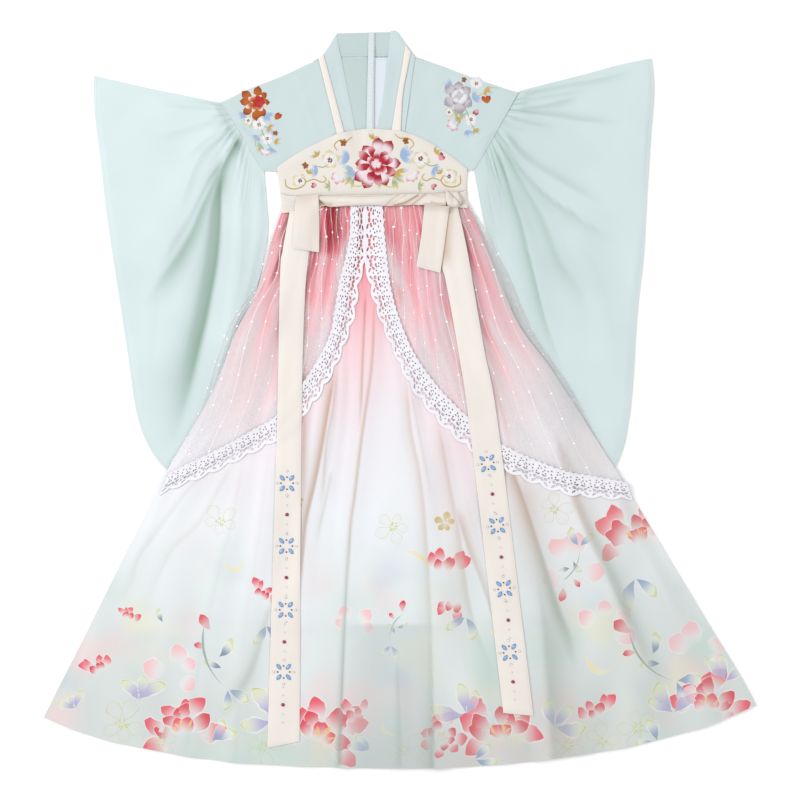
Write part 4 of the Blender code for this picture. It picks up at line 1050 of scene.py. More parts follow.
def bodice_front():
    """The fronts of the bodice, smooth, with slight pulls from the armholes."""
    for node, side, edges in (
            ("bodice_front_left", 1, (SHOULDER_LEFT, BODICE_BOTTOM_LEFT, moved(ARMHOLE_LEFT, -OVERLAP),
                                      COLLAR_SEAM_LEFT)),
            ("bodice_front_right", -1, (SHOULDER_RIGHT, BODICE_BOTTOM_RIGHT, COLLAR_SEAM_RIGHT,
                                        moved(ARMHOLE_RIGHT, OVERLAP)))):
        plan = panel(*edges, 3.0)
        relief, shade = creases(plan, BODICE_CREASES)
        # The last stretch is under the collar, flat
        across, _, width, _ = lengths(plan)
        inner = width - across if side > 0 else across
        plan = plan + np.dstack([side * TUCKED_IN * (1 - smooth(inner / 30)), 0 * inner])
        relief = (relief + 0.4 + 0.4 * wobble(plan[..., 0], plan[..., 1], 5, 70)) * smooth(inner / 14)
        piece = cloth(node, plan, mint_double, "mint_chiffon", relief=relief, shade=shade, reach=1, hug=8,
                      rounded=4)


def collar():
    """The two fronts of the collar band; the right one turns over at the top into the back."""
    plan = panel([COLLAR_SEAM_LEFT[0], COLLAR_INNER_LEFT[0]],
                 [COLLAR_SEAM_LEFT[-1], COLLAR_INNER_LEFT[-1]], COLLAR_SEAM_LEFT, COLLAR_INNER_LEFT, 3.0)
    piece = cloth("collar_left", plan, mint_double, "mint_chiffon", FINE, rounded=1.5)
    plan = panel(COLLAR_TOP_RIGHT, [COLLAR_INNER_RIGHT[-1], COLLAR_SEAM_RIGHT[-1]], COLLAR_INNER_RIGHT,
                 COLLAR_SEAM_RIGHT, 3.0)
    piece = cloth("collar_right", plan, mint_double, "mint_chiffon", FINE, rounded=1.5)


def inside_back():
    """What shows inside the neck: the collar's back, the white lining strip and the zip."""
    piece = cloth("collar_back", quad(QUADS["collar_back"]), mint_inside, "mint_inside", SHEER, rounded=2)
    piece = cloth("back_lining", quad(QUADS["back_lining"]), white, "white_lining")
    piece = cloth("back_zip", quad(QUADS["back_zip"], 2.0), zip_weave(), "zip_tape", relief=0.3)


# ---------------------------------------------------------------- skirt
def tucked(plan, down):
    """The plan with its top edge drawn up under the waistband, most behind the sash, dying away over
    40 mm."""
    plan = plan.copy()
    behind_sash = smooth((plan[..., 0] + 130) / 30) * smooth((80 - plan[..., 0]) / 30)
    plan[..., 1] += (5 + 6 * behind_sash) * (1 - smooth(down / 0.05))[:, None]
    return plan


def skirt_plan(columns, down):
    """The skirt's grid, at the given shares of the way down."""
    across = np.linspace(0, 1, columns + 1)
    plan = patch(curve(WAIST, across), curve(SKIRT["hem"], across), curve(SKIRT["left"], down),
                 curve(SKIRT["right"], down), across, down)
    return tucked(plan, down)


def dye_fields(plan, down):
    """The share of the way down for the dye, which fades sooner in the middle and at the sides; how much
    less white the cloth looks where no lining backs it, clearest in the middle; and how pale its sides
    are above the lace, where few layers lie."""
    x, y = plan[..., 0], plan[..., 1]
    down = down[:, None]
    share = down + 0.15 * hill(x, -14, 60) * smooth((down - 0.05) / 0.2)
    share = share + 0.10 * hill(x, -108, 34) * smooth((down - 0.08) / 0.12)
    share = share + 0.08 * smooth((np.abs(x + 20) - 110) / 130) * smooth((down - 0.03) / 0.2)
    share = share + 0.02 * wobble(x, 0.2 * y, 31, 130) * smooth(down / 0.3)
    hem = smooth((down - LINING_SHARE) / 0.003 + 0.5)
    across, _, width, _ = lengths(plan)
    side = hill(np.minimum(across, width - across), 0, np.where(x < 0, 10, 16), 1.5)
    side = side * np.where(x < 0, 0.5, 0.35) + 0.25 * smooth((x - 170) / 60) * smooth((down - 0.25) / 0.1)
    return {"down": share, "unlined": hem * (0.05 + 0.95 * hill(x, -16, 62, 4)), "across": across / width,
            "pale": side * smooth((0.52 - down) / 0.12) * smooth((down - 0.02) / 0.06)}


def overskirt_back():
    """The back of the sheer overskirt, on the floor."""
    lanes = 36
    plan = panel(WAIST, OVERSKIRT["back_hem"], OVERSKIRT["left"], OVERSKIRT["right"], 10.0)
    across, down, width, length = lengths(plan)
    fields = {"lane": across / width * lanes, "pitch": np.repeat(width / lanes, plan.shape[1], axis=1),
              "fall": down / length, "dusk": 0 * across, "veiled": 0.15 + 0.65 * smooth(across / 30)}
    piece = cloth("overskirt_back", plan, veil, "sheer_organza", SHEER, reach=4, shade=0.3, fields=fields)
    # Most of the light that meets it is scattered forwards
    piece.visible_shadow = False


def skirt_behind():
    """The skirt's back and its lining, which stops short of the skirt's sides and hem."""
    down = np.linspace(0, 1, 80)
    plan = skirt_plan(100, down)
    piece = cloth("skirt_back", plan, printed_chiffon("printed_chiffon_back", 1.0), "rose_chiffon",
                  reach=4, fields=dye_fields(plan, down), corner_fields=printed(BACK_PRINT))
    plan = skirt_plan(100, np.linspace(0, LINING_SHARE, 60))[:, 6:-6]
    piece = cloth("skirt_lining", plan, white, "white_lining", reach=3)


def skirt_front():
    """The skirt's front: two sets of gathers from the waist, the listed creases and broad swells.
    Its middle hangs nearly smooth, and its sides are pressed down onto the back."""
    down = np.linspace(0, 1, 160) ** 1.08
    plan = skirt_plan(300, down)
    x, y = plan[..., 0], plan[..., 1]
    u, v = np.linspace(0, 1, 301)[None, :], down[:, None]
    strength = 1 - 0.75 * hill(u, 0.47, 0.10) * smooth(v / 0.25)
    pull, pull_shade = gathers(u, v, 22, 1.9, 0.80, 0.0, strength)
    fine, fine_shade = gathers(u, v, 61, 0.45, 0.24, 2.0)
    drawn, drawn_shade = creases(plan, SKIRT_CREASES)
    swell = smooth(v / 0.3) * (1.2 + 0.9 * wobble(x, y * 0.4, 8, 110))
    # Broad painted shade over the right half, which lies in more and thicker folds, over the hem's
    # middle, and over the sides under the waistband
    broad_shade = smooth((x - 10) / 70) * smooth((v - 0.34) / 0.16)
    broad_shade = broad_shade + 0.5 * smooth((-250 - x) / 60) * smooth((v - 0.6) / 0.2)
    broad_shade = broad_shade * (0.16 + 0.08 * wobble(x, 0.3 * y, 44, 90))
    broad_shade = broad_shade + 0.22 * smooth((v - 0.86) / 0.12) * hill(x, -20, 190)
    sides = 0.13 * smooth((-185 - x) / 30) + 0.12 * smooth((x - 95) / 50)
    broad_shade = broad_shade + sides * smooth((v - 0.08) / 0.08) * (1 - smooth((v - 0.34) / 0.12))
    shade = np.maximum(0.14 * pull_shade + 0.26 * fine_shade + drawn_shade, 0) + broad_shade
    across, _, width, _ = lengths(plan)
    pressed = 0.15 + 0.85 * smooth(np.minimum(across, width - across) / 16)
    piece = cloth("skirt_front", plan, printed_chiffon("printed_chiffon_front", 0.94), "rose_chiffon",
                  SHEER, relief=pressed * (pull + fine + drawn + swell), shade=shade, reach=3,
                  fields=dye_fields(plan, down), corner_fields=printed(FRONT_PRINT))


def overskirt(which, table, seed, dusk):
    """One sheer front: its lines run from the waist to the curved edge that carries the lace. The
    first stretch of that edge drops straight from the waist and is the patch's inner side. It scatters
    most of the light that meets it forwards, so it throws no shadow. Dusk is how grey its layers are
    painted along its free side: painted shade, standing also for front and back lying on each other."""
    drop, lanes = 0.08, 14
    side, opening = OVERSKIRT[which], OVERSKIRT["open_" + which]
    across = np.linspace(0, 1, 160)
    down = np.linspace(0, 1, 96)
    low = curve(opening, 1 - across * (1 - drop))
    plan = patch(curve([side[0], opening[0]], across), low, curve(side, down),
                 curve(opening, down * drop), across, down)
    plan = tucked(plan, down)
    x, y = plan[..., 0], plan[..., 1]
    u, v = across[None, :], down[:, None]
    pull, pull_shade = gathers(u, v, 9, 0.9, 0.9, seed)
    fine, fine_shade = gathers(u, v, 26, 0.22, 0.5, seed)
    drawn, drawn_shade = creases(plan, table)
    _, _, width, _ = lengths(plan)
    from_side = np.linalg.norm(plan - plan[:, :1], axis=-1)
    # It is clearest where the gathers pull it tight, above all over the hollow beside the left tail
    hollow = hill(x, -101, 14, 4) * smooth((y - 204) / 14)
    wedge = hill(x, -130, 9, 4) * smooth((y - 130) / 20)
    veiled = (0.45 + 0.70 * smooth((v - 0.02) / 0.5)) * (1 - 0.97 * np.maximum(hollow, 0.8 * wedge))
    at_side = 0.6 if dusk else 0.2
    veiled = veiled * (at_side + (1 - at_side) * smooth(from_side / 26))
    # The stripes lie crooked where the gathers pull at them
    astray = 0.016 * np.sin(17 * u + seed) + 0.016 * np.sin(31 * u + 26 * v) * np.exp(-v / 0.16)
    fields = {"lane": lanes * (u + astray) + 0.35, "pitch": np.repeat(width / lanes, len(across), axis=1),
              "fall": v + 0 * u, "dusk": dusk * hill(from_side, 0, 30) * smooth((0.92 - v) / 0.3),
              "veiled": veiled}
    shade = 0.8 * pull_shade + 0.5 * fine_shade + drawn_shade + 0.35 * (drawn / 3)
    piece = cloth("overskirt_" + which, plan, veil, "sheer_organza", 0.35, shade=shade,
                  relief=pull + fine + drawn + 0.6, fields=fields)
    piece.visible_shadow = False


# ---------------------------------------------------------------- lace
LACE_PITCH = 1.05
# Cells of the grid along one repeat, and across the band
LACE_COLUMNS, LACE_ROWS = 27, 35
LACE_REPEAT = LACE_COLUMNS * LACE_PITCH
MIDDLE = LACE_REPEAT / 2
# Holes in one repeat: (along, across from the straight edge, half length, half width, turn in degrees).
# In the hollow of each scallop two round holes between four slanted ones; above them arcs of dots curl
# round a solid flower; a small hole in the middle of each scallop. The straight edge is close-worked.
LACE_HOLES = [(MIDDLE + side * x, y, half_length, half_width, turn * side)
              for x, y, half_length, half_width, turn in
              ((3.0, 27.6, 2.5, 2.4, 0), (8.2, 24.4, 3.1, 1.5, -42), (8.6, 30.8, 3.2, 1.4, 36),
               (3.6, 20.2, 2.0, 1.4, 28)) for side in (-1, 1)]
LACE_HOLES += [(MIDDLE + 7.0 * math.sin(a), 16.8 - 6.4 * math.cos(a), 1.3, 1.15, 0)
               for a in np.radians([-112, -76, -40, -4, 40, 76, 112])]
LACE_HOLES += [(x, y, 1.25, 1.15, 0) for x, y in
               ((0.0, 25.4), (MIDDLE + 2.6, 14.2), (MIDDLE - 3.4, 7.2), (MIDDLE + 4.4, 6.4), (0.6, 13.6),
                (2.4, 18.2), (-2.2, 20.4), (0.6, 8.4), (-4.2, 10.4))]


def lace_solid(along, across):
    """How far a place is from the nearest hole's edge, negative inside: for each oval the length of the
    offset scaled to its half sizes, less one, times its half width."""
    best = np.full(along.shape, 9.0)
    for x, y, half_length, half_width, turn in LACE_HOLES:
        # Each hole sits on a point of the grid, so that the smallest isn't lost between two
        x, y = (LACE_PITCH * round(value / LACE_PITCH) for value in (x, y))
        dx = (along - x + LACE_REPEAT / 2) % LACE_REPEAT - LACE_REPEAT / 2
        dy = across - y
        c, s = math.cos(math.radians(turn)), math.sin(math.radians(turn))
        ring = np.hypot((dx * c + dy * s) / half_length, (dy * c - dx * s) / half_width)
        best = np.minimum(best, (ring - 1) * min(half_length, half_width))
    return best


def lace(node, outline, seed):
    """A band of lace: a fine grid without its holes, whose points near a hole's edge are moved onto it.
    It is thicker along the scalloped edge's cord, along a tape in its middle and between the two."""
    straight = np.array(outline["straight"], float)
    length = np.linalg.norm(np.diff(straight, axis=0), axis=1).sum()
    repeats = round(length / LACE_REPEAT)
    width = LACE_ROWS * LACE_PITCH
    along = LACE_PITCH * np.arange(repeats * LACE_COLUMNS + 1)[:, None]
    across = LACE_PITCH * np.arange(LACE_ROWS + 1)[None, :]
    along, across = np.broadcast_arrays(along, across)
    solid = lace_solid(along, across)
    slopes = np.gradient(solid, along[1, 0], across[0, 1])
    steep = np.maximum(slopes[0] ** 2 + slopes[1] ** 2, 0.2)
    near = np.abs(solid) < 0.55 * LACE_PITCH
    shift = np.where(near & (across > 0) & (across < width), -solid / steep, 0)
    along, across = (at + np.clip(shift * slope, -0.6, 0.6) for at, slope in zip((along, across), slopes))
    solid = np.where(near, 0, solid)
    kept = np.minimum(np.minimum(solid[:-1, :-1], solid[1:, :-1]),
                      np.minimum(solid[:-1, 1:], solid[1:, 1:])) > -0.01
    beat = (along / LACE_REPEAT) % 1
    wave = np.abs(np.cos(math.pi * beat)) ** 0.8
    at = np.clip(along / (repeats * LACE_REPEAT), 0, 1)
    # The scallops of the two laces overlap down to where the fronts part
    scallops = 0.16 * smooth((at - 0.10) / 0.08)
    rim = across / width
    share = rim * (1.06 - scallops * (1.1 - wave))
    # Small picots along the straight edge
    share = share + 0.025 * (1 - np.cos(6 * math.pi * beat)) * (1 - rim) ** 6
    plan = curve(outline["straight"], at) * (1 - share[..., None])
    plan = plan + curve(outline["scallop"], at) * share[..., None]
    plan[..., 1] += 10 * (1 - smooth(at / 0.06))
    cord = hill(rim, 0.95, 0.045)
    tape = hill(rim, 0.52, 0.05)
    relief = 0.9 * cord + 0.5 * tape + 0.25 * np.sin(2 * math.pi * beat * 2) * hill(rim, 0.7, 0.1)
    # Painted shade round each hole's edge, less of it on the raised cord, and a tint along the straight
    # edge, where the thin net shows the cloth below
    shade = 0.3 * np.exp(-np.maximum(solid, 0) / 0.8) - 0.5 * cord + 0.28 * hill(rim, 0, 0.16)
    ripple = 0.2 * wobble(along, across, seed, 60)
    piece = cloth(node, plan, lace_white, "white_lace", 0.4, relief=0.2 + ripple + 0.6 * relief,
                  shade=shade, reach=1, kept=kept)


# ---------------------------------------------------------------- band, straps, sash and ties
def chest_band():
    """The stiff arched chest band and the waistband below it, each with a pressed edge."""
    plan = panel(BAND_TOP, BAND_SEAM, [BAND_TOP[0], BAND_SEAM[0]], [BAND_TOP[-1], BAND_SEAM[-1]], 2.5)
    relief = 0.5 + 0.35 * wobble(plan[..., 0], plan[..., 1], 11, 60)
    piece = cloth("chest_band_front", plan, cream_band, "cream_band", FIRM, relief=relief, rounded=1.2,
                  hug=8)
    # Its lower edge shows only beside the sash
    top, low = moved(BAND_SEAM, 0, -SEAM), WAISTBAND_LOW
    plan = panel(top, low, [top[0], low[0]], [top[-1], low[-1]], 2.5)
    x, y = plan[..., 0], plan[..., 1]
    pucker = 0.5 + 0.25 * np.sin(x / 7.0 + 2 * np.sin(x / 31.0))
    # Painted shade deep in the corner between the tail and the sash
    corner = hill(x, -112, 6) * smooth((294 - y) / 4)
    piece = cloth("waistband_front", plan, cream_band, "cream_band", FIRM, relief=pucker, shade=corner,
                  rounded=1.2, hug=6)


def straps():
    """Two narrow straps from the band to the shoulders, beside the collar."""
    for node in ("strap_left", "strap_right"):
        piece = cloth(node, strip(STRIPS[node], 1.6), cream_tie, "cream_twill", FIRM, rounded=1.0)


def ties():
    """The two long hanging ties, folded double, with soft ripples down their length."""
    for node, seed in (("tie_left", 2), ("tie_right", 7)):
        plan = strip(STRIPS[node], 2.6)
        across, down, width, length = lengths(plan)
        relief = 0.5 + 0.45 * wobble(down, across * 0.3, seed, 150)
        # The right tie lies in the shade of the tail beside it
        beside = 0.85 * hill(across, 0, 13) * smooth((102 - down) / 34) * (node == "tie_right")
        piece = cloth(node, plan, cream_tie, "cream_twill", FIRM, relief=relief, shade=beside,
                      rounded=1.6, hug=9)


def sash():
    """The rolled sash and its knot. The roll is the upper part of an ellipse over the width, 4.2 mm high,
    crossed by the listed twists; the knot is a dome (1 - u^4)(1 - v^4) to the half power with two
    crossing folds; the two tails hang flat."""
    plan = panel(SASH["top"], SASH["low"], [SASH["top"][0], SASH["low"][0]],
                 [SASH["top"][-1], SASH["low"][-1]], 0.8)
    v = np.linspace(0, 1, len(plan))[:, None]
    crest = 0.5 + 0.12 * np.sin(0.03 * plan[..., 0])
    roll = 4.2 * np.sqrt(np.clip(1 - ((v - crest) / 0.62) ** 2, 0, 1))
    drawn, twist_shade = creases(plan, SASH_TWISTS)
    thick = 0.9 + np.maximum(roll + drawn * np.minimum(1, roll / 3), 0)
    # Painted shade in the twists, and along the roll's lower and upper sides
    shade = 0.9 * twist_shade + 0.16 * smooth((v - 0.86) / 0.14) + 0.10 * smooth((0.10 - v) / 0.10)
    piece = cloth("waist_sash", plan, cream_sash, "cream_twill", thick, shade=shade)
    plan = strip(STRIPS["sash_knot"], 0.8)
    u, v = np.linspace(-1, 1, plan.shape[1])[None, :], np.linspace(-1, 1, len(plan))[:, None]
    dome = 5.6 * np.sqrt(np.clip((1 - u ** 4) * (1 - v ** 4), 0, 1))
    fold = hill(u - 0.9 * v, 0.30, 0.13) + 0.6 * hill(u + 0.2 * v, 0.80, 0.10)
    # Painted shade in the knot's two folds
    piece = cloth("sash_knot", plan, cream_sash, "cream_twill", 0.9 + dome - 1.6 * fold * dome / 6.4,
                  shade=0.5 * np.clip(fold, 0, 1))
    for node, seed, area in (("tail_left", 4, 0.0031), ("tail_right", 9, 0.0036)):
        plan = strip(STRIPS[node], 2.0)
        across, down, _, _ = lengths(plan)
        relief = 0.6 + 0.4 * wobble(down, across * 0.5, seed, 60)
        # Painted shade at the top of each tail: under the knot on the right, in a fold on the left
        top_shade = 0.4 * np.exp(-down / 6) if node == "tail_right" else 0.20 * hill(down, 0, 14)
        piece = cloth(node, plan, cream_sash, "cream_twill", FIRM, relief=relief, shade=top_shade,
                      rounded=1.4, hug=8)


# ---------------------------------------------------------------- embroidery
THREADS = {
    "wine": "#a8182b", "red": "#c02434", "pink": "#e3a3ae", "pale": "#f3e2e6", "orange": "#bd6418",
    "flame": "#b8391b", "rust": "#a0441f", "gold": "#cba94a", "straw": "#dfd194", "white": "#ecebee",
    "sky": "#9fb9da", "mist": "#ced9e6", "bark": "#8f6034", "lilac": "#ab9fac", "fog": "#cfc8cd",
    "leaf": "#a9b896",
}
# Kinds of stitched flower: rings of (petals, degrees they fan over, start, length, width, colour at the
# base, colour at the tip, rise)
STITCHED = {
    "rose": [(9, 360, 0.42, 0.60, 0.44, "pale", "wine", 1.1),
             (8, 360, 0.26, 0.54, 0.38, "wine", "pink", 1.6),
             (6, 360, 0.10, 0.46, 0.32, "red", "pale", 2.0),
             (5, 360, 0.0, 0.30, 0.22, "pale", "wine", 2.4)],
    "ember": [(8, 360, 0.30, 0.70, 0.48, "orange", "rust", 1.0),
              (7, 360, 0.12, 0.52, 0.34, "orange", "pale", 1.4),
              (6, 150, 0.06, 0.50, 0.40, "red", "flame", 1.8),
              (4, 360, 0.0, 0.26, 0.24, "flame", "red", 2.2)],
    "dusk": [(6, 360, 0.26, 0.74, 0.62, "fog", "lilac", 1.0),
             (6, 360, 0.10, 0.56, 0.48, "white", "lilac", 1.6),
             (4, 360, 0.0, 0.32, 0.34, "fog", "fog", 2.0)],
    "blossom": [(5, 360, 0.14, 0.86, 0.86, "white", "white", 0.9),
                (6, 360, 0.08, 0.24, 0.18, "bark", "gold", 1.3)],
    "outlined": [(5, 360, 0.12, 0.88, 0.80, "white", "straw", 0.8),
                 (5, 360, 0.18, 0.56, 0.52, "white", "white", 1.1),
                 (6, 360, 0.06, 0.26, 0.20, "bark", "orange", 1.3)],
    "star": [(5, 360, 0.0, 1.0, 0.70, "bark", "orange", 0.8)],
    "leaves": [(3, 140, 0.05, 0.95, 0.40, "gold", "mist", 0.7)],
    "cool": [(3, 140, 0.05, 0.95, 0.44, "sky", "mist", 0.7)],
    "fern": [(5, 160, 0.10, 0.90, 0.26, "leaf", "straw", 0.6)],
    "bud": [(3, 80, 0.0, 1.0, 0.50, "pink", "wine", 0.9)],
    "berry": [(3, 70, 0.0, 1.0, 0.52, "orange", "flame", 1.0)],
    "tuft": [(4, 200, 0.10, 0.90, 0.56, "white", "pink", 0.9),
             (3, 150, 0.0, 0.60, 0.42, "white", "pale", 1.3)],
}
# (kind, x, y, reach, turn in degrees)
BAND_EMBROIDERY = [
    ("fern", -68, 328, 18, 200), ("fern", -10, 326, 18, 330), ("cool", -74, 352, 18, 165),
    ("cool", 0, 356, 19, 15), ("leaves", -40, 380, 12, 80), ("cool", -68, 336, 16, 215),
    ("leaves", -6, 334, 18, 310), ("rose", -34, 344, 36, 10), ("outlined", -102, 350, 14, 20),
    ("outlined", 30, 352, 14, 50), ("cool", -120, 336, 13, 190), ("cool", 48, 338, 13, 330),
    ("leaves", -120, 356, 11, 130), ("leaves", 50, 362, 11, 20), ("tuft", -90, 327, 12, 230),
    ("tuft", 18, 329, 12, 300), ("bud", 58, 350, 11, 60), ("outlined", -146, 320, 11, 0),
    ("outlined", 72, 326, 12, 30), ("star", -82, 375, 6, 10), ("star", 8, 378, 5.5, 40),
    ("star", -138, 342, 5.5, 20), ("bud", -122, 314, 8, 190), ("bud", 46, 314, 9, 330),
    ("fern", -102, 312, 10, 180), ("fern", 26, 312, 10, 0), ("leaves", -134, 330, 10, 60),
    ("leaves", 60, 330, 10, 120),
]
SHOULDER_EMBROIDERY_LEFT = [
    ("cool", -226, 416, 14, 210), ("cool", -196, 418, 14, 300), ("fern", -214, 410, 15, 250),
    ("ember", -211, 434, 24, 20), ("blossom", -206, 402, 10.5, 10), ("outlined", -222, 408, 8, 0),
    ("leaves", -194, 398, 12, 330), ("blossom", -194, 382, 9, 30), ("cool", -208, 386, 12, 230),
    ("berry", -182, 410, 11, 60), ("cool", -188, 368, 11, 260), ("star", -182, 390, 4.5, 0),
    ("fern", -202, 372, 11, 220), ("tuft", -196, 364, 9, 250), ("leaves", -184, 378, 10, 340),
]
SHOULDER_EMBROIDERY_RIGHT = [
    ("cool", 74, 456, 15, 150), ("cool", 106, 440, 14, 20), ("fern", 86, 424, 16, 250),
    ("dusk", 86, 444, 24, 0), ("blossom", 112, 462, 10, 0), ("leaves", 124, 454, 12, 330),
    ("berry", 128, 434, 13, 100), ("blossom", 104, 410, 9.5, 20), ("leaves", 88, 412, 12, 210),
    ("bud", 114, 424, 9, 240), ("outlined", 72, 420, 7.5, 0), ("leaves", 110, 396, 10, 300),
    ("tuft", 78, 404, 11, 230), ("star", 94, 468, 4.5, 0), ("cool", 98, 394, 11, 280),
]
# Couched cords: (thread, half width, points)
BAND_CORDS = [
    ("gold", 0.9, [(-168, 322), (-166, 312), (-156, 308), (-144, 311), (-138, 318), (-142, 324),
      (-149, 322)]),
    ("gold", 0.8, [(-138, 318), (-126, 322), (-114, 318), (-108, 322), (-112, 327)]),
    ("gold", 0.9, [(88, 328), (88, 316), (78, 311), (66, 313), (60, 320), (64, 327), (71, 325)]),
    ("gold", 0.8, [(60, 320), (48, 324), (38, 320), (32, 325), (36, 330)]),
    ("gold", 0.8, [(-92, 364), (-96, 372), (-88, 379), (-78, 378), (-70, 384)]),
    ("gold", 0.8, [(14, 366), (20, 374), (12, 382), (0, 382), (-8, 388)]),
    ("straw", 0.8, [(-76, 318), (-64, 312), (-52, 314), (-46, 310)]),
    ("straw", 0.8, [(-2, 318), (-14, 311), (-26, 314), (-32, 310)]),
    ("leaf", 0.7, [(-124, 342), (-112, 340), (-100, 348)]),
    ("leaf", 0.7, [(56, 344), (44, 342), (30, 350)]),
]
SHOULDER_CORDS_LEFT = [
    ("leaf", 0.7, [(-214, 424), (-206, 406), (-200, 388), (-190, 370), (-180, 362)]),
    ("sky", 0.7, [(-204, 402), (-192, 396), (-184, 386)]),
    ("straw", 0.7, [(-200, 390), (-210, 382), (-212, 372)]),
]
SHOULDER_CORDS_RIGHT = [
    ("leaf", 0.7, [(90, 436), (98, 420), (104, 404), (112, 390)]),
    ("straw", 0.7, [(104, 444), (118, 446), (130, 456), (142, 456)]),
    ("sky", 0.7, [(98, 420), (88, 410), (82, 398)]),
]


def lay_on(plan):
    """The height of whatever lies below each point of small shapes."""
    return sample(ground, plan.reshape(1, -1, 2)).reshape(plan.shape[:-1])


def petal_grids(rows, across=7, along=8):
    """Domed petals. Along the middle s runs 0 to 1; the half width is width * 0.78 * s^0.6 * (1 - s^4);
    the dome is rise * (1 - t²)^0.6 * (4s(1 - s))^0.4 above the cloth."""
    x, y, angle, length, width, rise = rows[:, :6].T[:, :, None, None]
    s = np.linspace(0.01, 0.99, along)[None, :, None]
    t = np.linspace(-1, 1, across)[None, None, :]
    ahead = length * (s - 0.05 * t ** 2) + 0 * t
    aside = width * 0.78 * s ** 0.6 * (1 - s ** 4) * t
    plan = np.stack([x + ahead * np.cos(angle) - aside * np.sin(angle),
                     y + ahead * np.sin(angle) + aside * np.cos(angle)], axis=-1)
    dome = rise * np.clip(1 - t ** 2, 0, 1) ** 0.6 * (4 * s * (1 - s)) ** 0.4
    height = lay_on(plan) + 0.05 + dome
    # How near the rim: 1 at the tip and the sides, less towards the base
    rim = np.maximum(s, 0.9 * np.abs(t) * (0.4 + 0.6 * s))
    points = np.concatenate([plan, height[..., None]], axis=-1)
    return points, np.stack([aside, ahead], axis=-1), rim + 0 * x


def stitched(name, table, cords):
    """Satin-stitched flowers on the cloth below: every petal is its own small dome of thread. Couched
    cords are half-round, (1 - t²) to the half power across, and taper at both ends."""
    rows, base, tip = [], [], []
    for i, (kind, x, y, reach, turn) in enumerate(table):
        for ring, (count, fan, start, length, width, low, high, rise) in enumerate(STITCHED[kind]):
            for k in range(count):
                angle = turn + fan * ((k + 0.5) / count - 0.5) + 8 * math.sin(4 * k + i)
                angle = math.radians(angle + (26 * ring if fan == 360 else 0))
                size = reach * (1 + 0.13 * math.sin(5 * k + 3 * i + ring))
                rows.append([x + start * size * math.cos(angle), y + start * size * math.sin(angle),
                             angle, length * size, width * size, rise * 0.55])
                base.append(hexa(THREADS[low]))
                tip.append(hexa(THREADS[high]))
    grids, place, share = petal_grids(np.array(rows))
    share = smooth((share - 0.46) / 0.36)[..., None]
    tint = np.array(base)[:, None, None] * (1 - share) + np.array(tip)[:, None, None] * share
    parts = [(grids, many_faces(*grids.shape[:3]), tint, place)]
    s = np.linspace(0, 1, 36)
    t = np.linspace(-1, 1, 5)[None, :]
    for thread, half, cord in cords:
        line = curve(cord, s)
        run = np.gradient(line, axis=0)
        normal = np.stack([-run[:, 1], run[:, 0]], axis=-1) / np.linalg.norm(run, axis=1)[:, None]
        wide = half * np.sin(math.pi * (0.06 + 0.88 * s)) ** 0.4
        plan = line[:, None] + normal[:, None] * (wide[:, None] * t)[..., None]
        height = lay_on(plan) + 0.05 + 0.7 * half * np.sqrt(1 - t ** 2)
        parts.append((np.dstack([plan, height]), grid_faces(*height.shape),
                      np.tile(hexa(THREADS[thread]), (height.size, 1)),
                      np.dstack([half * t + 0 * s[:, None], 60 * s[:, None] + 0 * t])))
    points, faces, tints, places = zip(*parts)
    points = [some.reshape(-1, 3) for some in points]
    starts = np.cumsum([0] + [len(some) for some in points])
    points = np.vstack(points)
    faces = up_faced(points, np.vstack([some + start for some, start in zip(faces, starts)]))
    return make_piece(name, points, faces, silk,
                      {"thread": np.vstack([some.reshape(-1, 4) for some in tints])},
                      np.vstack([some.reshape(-1, 2) for some in places]), crisp=80)


# ---------------------------------------------------------------- beads
# Each glass: its rim, darkened by painted shade, and its middle, lightened by a painted highlight
GLASS_SHADE_AND_HIGHLIGHT = {"blue": ("#235a9c", "#86b4df"), "ruby": ("#5e0c18", "#a81a30"), "garnet": ("#4a0f18", "#7a2030"),
         "clear": ("#878e98", "#eef1f4")}
# A star of beads: (x, y, length, width, height, turn, glass), from its centre
STAR = [(6.9 * a, 7.6 * b, 10.4, 5.6, 2.0, 49 * a * b, "blue") for a in (-1, 1) for b in (-1, 1)]
STAR += [(x * a, y * b, length, width, height, 0, glass)
         for x, y, length, width, height, glass in ((8.8, 8.8, 2.6, 2.4, 1.4, "garnet"),
                                                    (14.5, 17.5, 3.9, 3.3, 1.6, "clear"))
         for a, b in ((-1, 0), (1, 0), (0, 1), (0, -1))]
STARS = [(-165, -122, 0), (-166, -214, 0), (-167, -307, 0), (-170, -398, 0),
         (128, -93, 8), (142, -184, 7), (152, -276, 6), (160, -369, 6)]
ROUND_BEADS = [(-165, -168), (-166, -260), (-169, -354), (-171, -446), (135, -138), (148, -230),
               (158, -322), (165, -412)]


